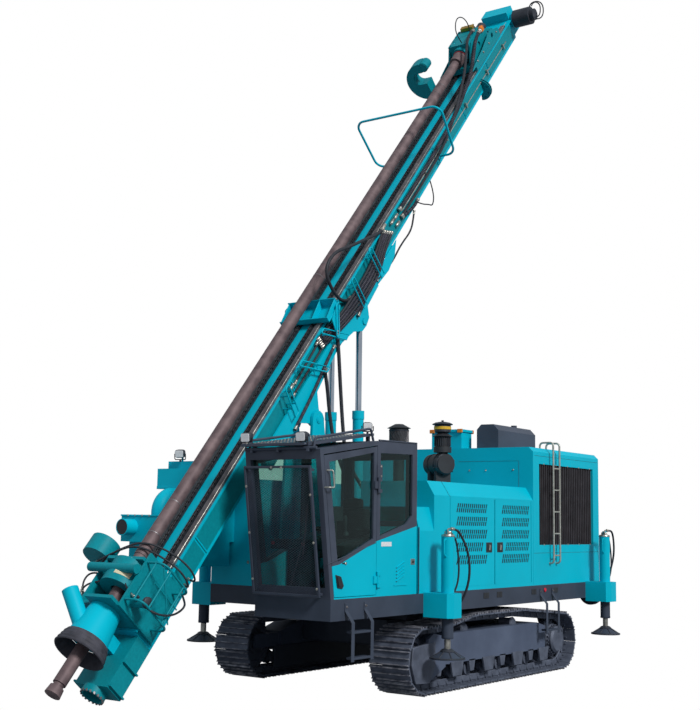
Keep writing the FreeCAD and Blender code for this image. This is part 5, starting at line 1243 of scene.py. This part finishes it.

# %% [markdown]
# ## Hose brackets on the mast
# The hoses pass behind brackets down the mast's side. Each is a long oval ring
# of round bar on four short rungs. Silver couplings sit above and below. The rod
# claw's outer jaw ends in a rounded lobe.

# %% Side brackets and couplings
# A darker copy of the teal enamel is painted shade: it darkens the mast's foot, clamp table, loader, guard,
# rotary head and claw lobe as if they stood in shadow.
finish("painted_shade_enamel", "body_paint", "068A97", "057E8B", 0.03, (0.4, 0.55), 0.003, 0.0001, shine=0.15)
recoat("painted_shade_enamel", "clamp_table", "mast_foot", "rod_loader", "clamp_guard", "rotary_head")
lobe = drum(at(-0.292, 1.477, 7.064), at(-0.292, 1.477, 7.276), 0.086, 0.012, sides=40)
on_mast("claw_lobe", "painted_shade_enamel", lobe)
finish("brass_fitting", "bare_steel", "C9A24B", "A8842F", 0.1, (0.25, 0.4), 0.01, 0.0002, metal=0.9)
brackets = mm("-510 550 -400 950, 450 470 40 970, 1120 470 740 930, 1800 480 1840 960, 2490 480 2510 980")
for side, out in SIDES.items():
    x, deepest = (0.42, 1.0) if out > 0 else (-0.35, 0.84)
    rings = []
    for u0, v0, u1, v1 in brackets:
        v1 = min(v1, deepest)
        oval = [at(x, v0, u0), at(x, v1, u1), at(x, v1, u1 + 0.1), at(x, v0, u0 + 0.1)]
        rings.append(bent(oval, 0.011, 0.045, 1, closed=True))
        for share in (0.3, 0.75):
            u, v = u0 + (u1 - u0) * share, v0 + (v1 - v0) * share
            foot = out * (0.336 if v < 0.62 and u < 2.4 else 0.262)
            rings += [strand([at(foot, v, z), at(x, v, z)], 0.009, 1) for z in (u, u + 0.1)]
    on_mast(f"{side}_hose_brackets", "teal_enamel", rings)
    x, fits = out * 0.29, []
    for u, v in mm("720 790, -160 770, 3270 860, 3510 770, 3620 650, 3660 760"):
        fits.append(drum(at(x, v, u - 0.045), at(x, v, u + 0.045), 0.027, sides=6))
        fits.append(drum(at(x, v, u - 0.065), at(x, v, u + 0.065), 0.02))
    on_mast(f"{side}_couplings", "zinc_plate", fits)
    upper, lower = "-780 1100, -775 850, -760 400, -750 -80", "-660 900, -660 600, -660 200, -660 -240"
    for label, line in (("a", upper), ("b", lower)):
        mast_hose(f"{side}_run_hose_{label}", [(out * 0.286, y, z) for y, z in mm(line)], 0.016)
print("brackets on both sides")

# %% Hoses down the mast's left side
tight, open_wound = 0.022, 0.03  # the pitch of a coiled guard
line = mm("357 -545 920, 357 -535 720, 357 -465 270, 357 -425 -80, 357 -390 -590")
mast_hose("drain_hose", line, 0.018, guard=tight)
line = mm("357 -565 2320, 357 -545 2170, 357 -475 1920, 357 -450 1660")
mast_hose("guarded_hose_low", line, 0.019, guard=tight)
for k in range(5):
    low = 0.045 * k
    line = [
        (0.287, -0.84 + low, 3.2 + 0.05 * k),
        (0.32, -0.82 + low, 3.02),
        (0.372, -0.76 + low * 1.3, 2.55),
        (0.384, -0.75 + low * 1.3, 1.9),
        (0.38, -0.76 + low, 1.4),
        (0.36, -0.8 + low * 0.8, 1.0),
        (0.287, -0.82 + low * 0.8, 0.72),
    ]
    mast_hose(f"bundle_hose_{k}", line, 0.019, guard=open_wound if k in (1, 2, 4) else 0.0)
line = mm("288 -550 4400, 300 -550 4250, 300 -570 4100, 288 -640 3780")
mast_hose("guarded_hose_high", line, 0.02, guard=tight)
line = mm(
    "270 -485 4200, 270 -420 4100, 250 -300 3900, 250 -340 3500, 250 -310 3100, 250 -360 2800, "
    "280 -400 2600, 314 -440 2472"
)
mast_hose("back_edge_hose", line, 0.014)
line = mm("285 -520 4360, 295 -420 4440, 290 -300 4600, 285 -200 4700, 270 -300 4900, 240 -490 5000")
mast_hose("clip_wire", line, 0.01, ends=False)

# %% [markdown]
# ## Big loop
# The thick supply hose leaves the upper couplings, swings out past the drill
# rod in a wide loop, and comes back to the beam below.

# %% Supply loop
line = mm(
    "312 -870 3200, 330 -900 3050, 360 -1060 2720, 370 -1270 2250, 370 -1470 1860, "
    "370 -1430 1500, 360 -1080 1440, 330 -760 1580, 290 -690 1800"
)
mast_hose("supply_loop", line, 0.024)
print("mast brackets and hoses", len(hose_list))

# %% [markdown]
# ## Drill head plumbing
# Two hoses come off the head's gearbox in a long curve and run down to the
# couplings. Each hangs between the head and the mast, with its upper ferrule on
# the head and its lower ferrule on the mast. A half-round saddle keeps the
# bend from kinking, and clips carry a grease tube down the beam's side. A red
# ring and a white one close the head's spindle.

# %% Head hoses and swivel
line = mm(
    "228 -1280 8420, 235 -1280 8200, 280 -1160 7850, 310 -1000 7440, 330 -930 6970, "
    "335 -850 6500, 335 -800 5700, 330 -785 4700, 288 -770 3800"
)
crossing_hose("head_pressure_hose", line, 0.027, "head", "mast", lean, guard=0.036)
line = mm(
    "170 -1355 8350, 180 -1420 8100, 240 -1280 7700, 290 -1120 7300, 330 -1020 6900, "
    "345 -870 6400, 340 -720 5800, 330 -670 4900, 284 -655 3780"
)
crossing_hose("head_return_hose", line, 0.023, "head", "mast", lean)
finish("white_paint", "body_paint", "E9EAE6", "D3D4CF", 0.04, (0.4, 0.55), 0.003, 0.0001)
on_mast("swivel_block", "orange_paint", block(at(0.2, 1.33, 8.46), at(0.268, 1.23, 8.56), 0.012), "head")
nut = drum(at(0.229, 1.28, 8.4), at(0.229, 1.28, 8.46), 0.038, sides=6)
on_mast("swivel_nut", "white_paint", nut, "head")
valves = [block(at(-0.12, 1.4, 8.44), at(0.12, 1.33, 8.53), 0.008)]
valves += [drum(at(x, 1.36, 8.53), at(x, 1.36, 8.59), 0.02, sides=6) for x in (-0.08, 0, 0.08)]
on_mast("head_valve_block", "brass_fitting", valves, "head")
print("hoses so far", len(hose_list))

# %% Head gussets, bolts and spindle rings
# The gussets and the cover bolts wear the darker teal of painted shade.
cheek = [at(0.31, v, u) for v, u in mm("990 7500, 990 8920, 1060 8920, 1170 8600, 1080 8100, 1020 7500")]
gusset = plate(cheek, (0.014, 0, 0))
carved(gusset, drum(at(0.29, 1.07, 8.62), at(0.35, 1.07, 8.62), 0.045))
on_mast("head_side_gussets", "painted_shade_enamel", row(gusset, [(-0.634, 0, 0)]), "head")
on_head = {"body": "head", "place": lean}
spots = [at(x, 1.33, u) for x in (-0.17, 0.17) for u in (8.0, 8.15, 8.3, 8.45)]
bolts("head_cover_bolts", spots, AHEAD, across=0.03, coat="painted_shade_enamel", **on_head)
bolts("head_side_bolts", [at(0.325, 1.03, u) for u in (7.8, 8.1, 8.4, 8.8)], ACROSS, across=0.028, **on_head)
for tone, coat, profile, height in (
    ("white", "white_paint", "112 0, 126 2, 126 24, 112 26", 7.86),
    ("red", "red_lens", "112 0, 121 2, 121 12, 112 14", 7.845),
):
    ring = turned(mm(profile), at(0, string_depth, height), sides=40)
    on_mast(f"spindle_collar_{tone}", coat, ring, "head")
print("spindle closed")

# %% Saddle, clips and small lines
arc = [(0.24 * c, 0.2 * s) for c, s in circle(13, 15, -105)]
saddle = plate([at(0.2 + 0.8 * c, 0.52 + s, 7.7) for c, s in arc], (0, 0, 0.014))
parts = [saddle, *copied(saddle, [(0, 0, 0.05)])]
for c, s in arc[2::3]:
    x, v = 0.2 + 0.6 * c, 0.52 + 0.75 * s
    parts.append(drum(at(x, v, 7.7), at(x, v, 7.76), 0.02))
# The saddle wears the darker teal of painted shade.
on_mast("hose_saddle", "painted_shade_enamel", parts)
clips = [
    block(at(0.255, v + 0.05, u - 0.015), at(0.305, v - 0.05, u + 0.015))
    for u, v in ((8.91, 0.67), (8.01, 0.68), (6.9, 0.7), (5.9, 0.7), (4.9, 0.7))
]
on_mast("tube_clips", "zinc_plate", clips)
line = mm("275 -670 9100, 275 -670 8900, 275 -690 7500, 275 -700 4700, 275 -700 3900")
on_mast("grease_tube", "zinc_plate", bent(line, 0.009, sides=1))
line = mm(
    "120 -1350 8300, 140 -1500 8340, 160 -1720 8200, 150 -1800 8000, 120 -1660 7860, "
    "100 -1450 7900, 80 -1350 7970"
)
mast_hose("sensor_wire", line, 0.009, "head", ends=False)
joint = mm("84 0, 87.2 2, 87.2 12, 84 14")
lines = [turned(joint, at(0, string_depth, u)) for u in (-3.1, -2.6, 1.72, 1.98, 6.6, 6.84)]
on_mast("rod_joint_lines", "worn_steel", lines, "drill_string")
print("head plumbed", len(hose_list))

# %% [markdown]
# ## Beam panels and edges
# The mast's beam is a box of thick flanges with thinner web plates set into its
# sides, welded in lengths. The guide rails' outer edges are rubbed bright.

# %% Web plates and bright rail edges
# The web plates wear the darker teal of painted shade, standing for the shade in the beam's recessed sides.
webs = []
for side in (-1, 1):
    x = side * 0.261
    for k in range(10):
        u = -4.2 + 1.37 * k
        webs.append(block((x, -0.825, u + 0.03), (x + side * 0.003, -0.545, u + 1.34), 0.001))
        webs.append(block((x, -0.835, u - 0.006), (x + side * 0.009, -0.53, u + 0.006), 0.002))
on_mast("mast_webs", "painted_shade_enamel", webs)
edges = [strand([at(x, 0.899, -4.2), at(x, 0.899, 9.4)], 0.0035) for x in (-0.268, 0.268)]
on_mast("rail_bright_edges", "zinc_plate", edges)
parts, outline = [], mm("500 2460, 360 2460, 310 2900, 360 3200, 500 3420")
for side in (-1, 1):
    parts.append(plate([at(0.27 * side, v, u) for v, u in outline], (0.012 * side, 0, 0)))
parts.append(block(at(-0.27, 0.49, 3.0), at(0.27, 0.47, 3.3)))
on_mast("carrier_upper_gussets", "teal_enamel", parts)
print("beam panelled")

# %% [markdown]
# ## Half-speed carriage
# The carriage that leads the head's hoses is a folded plate across the beam
# with turned-up lips, and an ear and an eye at each side for the hoses.

# %% Folded carriage
parts = [
    block(at(-0.42, 0.925, 1.0), at(0.42, 0.902, 1.36)),
    block(at(-0.42, 1.05, 1.345), at(0.42, 0.91, 1.36)),
    block(at(-0.42, 0.99, 1.0), at(0.42, 0.91, 1.014)),
]
web = mm("920 1010, 985 1010, 1040 1350, 920 1350")
for x in (-0.4, -0.14, 0.14, 0.4):
    parts.append(plate([at(x, v, u) for v, u in web], (0.012, 0, 0)))
ear = mm("980 1320, 900 1060, 740 1000, 700 1070, 840 1200, 900 1360")
eyelet = mm("980 1340, 980 1260, 660 940, 660 1020")
for side in (-1, 1):
    parts.append(plate([at(side * 0.425, v, u) for v, u in ear], (side * 0.014, 0, 0), 0.004))
    parts.append(bent([at(side * 0.45, v, u) for v, u in eyelet], 0.011, 0.035, 1, closed=True))
carriage = on_mast("folded_carriage", "teal_enamel", parts, "hose_carriage")
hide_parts("hose_carriage")

# %% [markdown]
# ## Hoses behind the cab
# Each has one ferrule on the cradle and one on the chassis; the hose itself is
# baked where it lies.

# %% Cradle hoses
high_line = mm(
    "107 -2020 4860, 110 -1980 4600, 120 -1940 4100, 160 -1920 3500, 200 -1900 3100, "
    "330 -1800 2780, 405 -1760 2680"
)
low_line = mm(
    "107 -2300 4300, 100 -2220 4050, 90 -2150 3700, 120 -2080 3300, 200 -2020 3000, "
    "330 -1900 2550, 405 -1900 2360"
)
for k, line in enumerate((high_line, low_line)):
    crossing_hose(f"cradle_hose_{k}", line, 0.026, "carrier", "chassis")

# %% [markdown]
# ## Clamp table
# The breakout clamps sit at the mast's foot. Their hydraulic rams have end caps
# and black hoses. The ring carries a rating plate, left blank here. Crossed bars
# brace the cage over the moving jaws.

# %% Clamp details
finish("cream_label", "dark_plastic", "D9D2B4", "C9C1A0", 0.02, (0.4, 0.5), 0.002, 0.0001)
caps, cap_profile = [], mm("0 12, 52 10, 66 0, 66 -30, 61 -32")
for side in (-1, 1):
    caps.append(turned(cap_profile, at(side * 0.56, string_depth, -4.06), (side, 0, 0)))
    for u in (-4.08, -4.04):
        caps.append(drum(at(side * 0.44, 1.2, u), at(side * 0.44, 1.235, u), 0.018, sides=6))
on_mast("clamp_ram_caps", "cast_black", caps)
label, table_top, label_radius, bolt_radius = [], -3.6, 0.2465, 0.2107
rim = [at(label_radius * s, string_depth + label_radius * c, -3.85) for c, s in circle(7, 8, 10)]
for a, b in zip(rim, rim[1:]):
    rise = Vector((0, 0, 0.13))
    label.append(plate([a, b, b + rise, a + rise], (0.001, -0.002, 0), 0.0003))
on_mast("clamp_rating_plate", "cream_label", label)
braces = [
    strand([at(0.585, 0.76, low), at(0.585, 1.24, high)], 0.009, 1)
    for low, high in ((-4.06, -3.64), (-3.85, -3.85))
]
# The braces wear the darker teal of painted shade.
on_mast("cage_braces", "painted_shade_enamel", braces)
on_beam = {"body": "mast", "place": lean}
spots = [at(bolt_radius * c, string_depth + bolt_radius * s, table_top) for c, s in circle(12, 30)]
bolts("ring_bolts", spots, UP, across=0.028, **on_beam)
bolts("plate_bolts", [at(x, 0.9, table_top) for x in (-0.3, -0.1, 0.1, 0.3)], UP, across=0.03, **on_beam)
print("clamp fitted")

# %% Clamp and claw hoses
line = mm(
    "-440 -1235 -4040, -450 -1300 -3980, -460 -1310 -3840, -400 -1270 -3770, -300 -1200 -3770, "
    "-200 -1120 -3820, -120 -1040 -3880, -100 -930 -3930"
)
mast_hose("clamp_hose_a", line, 0.011, far_end="fitting")
line = mm(
    "-440 -1235 -4080, -440 -1280 -4020, -360 -1290 -3940, -200 -1240 -3860, 0 -1320 -3780, "
    "150 -1300 -3860, 250 -1260 -3980, 400 -1232 -4050"
)
mast_hose("clamp_hose_b", line, 0.011)
line = mm(
    "285 -600 -3460, 380 -580 -3550, 560 -640 -3720, 650 -820 -3980, 660 -1040 -4130, "
    "560 -1150 -4120, 440 -1200 -4060"
)
mast_hose("clamp_hose_c", line, 0.0125)
line = mm(
    "-580 -1200 -3540, -570 -1230 -3620, -460 -1300 -3640, -250 -1320 -3500, 0 -1300 -3360, "
    "300 -1050 -3360, 460 -820 -3400, 450 -620 -3460, 286 -600 -3370"
)
mast_hose("claw_hose_a", line, 0.012)
line = mm(
    "-530 -1130 -3540, -520 -1160 -3600, -420 -1270 -3580, -200 -1310 -3440, 50 -1270 -3280, "
    "300 -1020 -3240, 500 -800 -3300, 480 -600 -3360, 286 -600 -3280"
)
mast_hose("claw_hose_b", line, 0.012)

# %% [markdown]
# ## Skirt and foot
# The dust skirt round the hole is a thick rubber band with moulded ridges
# under a flat collar. The mast's foot ends in a toothed ring that bites into the rock.

# %% Skirt ridges and foot teeth
ridges = mm(
    "292 0, 304 0, 312 12, 300 30, 304 55, 290 75, 293 100, 279 120, 281 145, 266 165, 264 178, "
    "250 180, 252 165, 280 30"
)
skirt = turned(ridges, at(0, string_depth, -4.8), sides=64)
on_mast("ridged_skirt", "skirt_rubber", skirt)
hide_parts("dust_skirt")
foot_y = -0.665
tooth = mm("128 -14 -5000, 150 -14 -5000, 146 -9 -5028, 132 -9 -5028")
tooth = plate([(x, foot_y + y, z) for x, y, z in tooth], (0, 0.024, 0), 0.002)
on_mast("foot_teeth", "worn_steel", row(tooth, spun(0, foot_y, 18, 20)))

# %% [markdown]
# ## Dust collector
# The dust collector's hopper has a flanged lid, a lifting eye and a row of
# bolts round its shelf; a work lamp on its side lights the hole. Its suction
# stub is open in front, ready for the dust hose.

# %% Collector details
rims = [
    block((-1.86, -4.15, 2.225), (-1.19, -3.29, 2.245), 0.003),
    block((-1.855, -3.495, 2.6), (-1.195, -3.485, 2.64), 0.003),
]
settle("collector_rims", "teal_enamel", rims)
stub = turned(mm("99 0, 107 0, 109 3, 109 12, 107 14, 99 14"), (-1.64, -4.322, 2.08), AHEAD, 40)
settle("suction_stub_rim", "teal_enamel", stub)
# A black disc in the stub's mouth is painted shade: it stands for the dark inside of the open pipe.
bore = drum((-1.64, -4.3, 2.08), (-1.64, -4.332, 2.08), 0.1, 0.001, sides=40)
settle("stub_bore", "moulded_plastic", bore)
sleeve = turned(mm("100 0, 121 3, 123 100, 121 140, 100 142"), (-1.5, -3.44, 2.5), (0, 1, 0), 40)
settle("elbow_rubber_sleeve", "skirt_rubber", sleeve)
lifting = mm("-1200 -3400 2990, -1200 -3400 3030, -1200 -3340 3030, -1200 -3340 2990")
settle("lifting_eye", "teal_enamel", bent(lifting, 0.008, 0.02))
bolts("collector_bolts", [(-1.85 + 0.13 * k, -4.15, 2.235) for k in range(1, 5)], AHEAD, across=0.018)
bolts("collector_side_bolts", [(-1.2, -4.05 + 0.12 * k, 2.2) for k in range(7)], ACROSS, across=0.018)
work_lamp("collector_lamp", (-1.53, -3.4, 3.085), (0.3, -1, -0.15), 0.07)
bracket = bent([(-1.53, -3.34, 2.98), (-1.53, -3.34, 3.06)], 0.014, 0)
settle("collector_lamp_bracket", "teal_enamel", bracket)

# %% [markdown]
# ## Feed motor
# The dark feed motor on the mast's top is bolted to its gearbox round a flange
# and is fed by two hoses that loop over its end.

# %% Feed motor bolts and hoses
spots = [(0.085, 3.47 + 0.135 * c, 11.438 + 0.135 * s) for c, s in circle(12, 30)]
bolts("feed_motor_bolts", spots, ACROSS, across=0.026, coat="cast_black", body="mast")
line = mm(
    "400 3470 11610, 410 3470 11660, 490 3490 11680, 560 3500 11600, 560 3500 11450, "
    "520 3490 11380, 480 3480 11390"
)
hose("feed_motor_hose_a", line, 0.011, "mast", ends=False)
line = mm(
    "360 3470 11610, 370 3480 11680, 500 3530 11710, 590 3550 11620, 600 3550 11440, "
    "540 3530 11350, 480 3510 11360"
)
hose("feed_motor_hose_b", line, 0.011, "mast", ends=False)

# %% [markdown]
# ## Under the machine
# Plates close the inner sides of the track frames between the rollers, which
# keeps rocks out of the chain. Each hanging step is two joggled strap irons
# bolted to the rail with narrow treads between them.

# %% Rock guards and steps
guards = [block((side * 1.1, -1.75, 0.1), (side * 1.112, 1.75, 0.42), 0.006) for side in (-1, 1)]
settle("inner_rock_guards", "chassis_enamel", guards)
joggle = mm("1601 1250, 1612 1250, 1612 1160, 1712 1030, 1712 580, 1700 580, 1700 1025, 1601 1150")
straps = []
for middle, levels in ((-3.63, (0.6, 0.9)), (1.46, (0.62,))):
    for y in (middle - 0.21, middle + 0.19):
        straps.append(plate([(x, y, z) for x, z in joggle], (0, 0.06, 0)))
    for z in levels:
        straps.append(block((wall, middle - 0.16, z), (1.71, middle + 0.2, z + 0.028)))
steps = settle("joggled_steps", "chassis_enamel", straps)
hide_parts("hanging_steps")
print(made_count, "pieces in all;", len(hose_list), "hoses")

# %% [markdown]
# ## The finished size
# The size with every added piece is measured, and how far it reaches past the bare solids' size is printed.

# %% Measure both sizes and finish
full_low, full_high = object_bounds()
lower = [round(1000 * (bare - full), 1) for bare, full in zip(bare_low, full_low)]
upper = [round(1000 * (full - bare), 1) for bare, full in zip(bare_high, full_high)]
print("grown by mm", lower, upper)
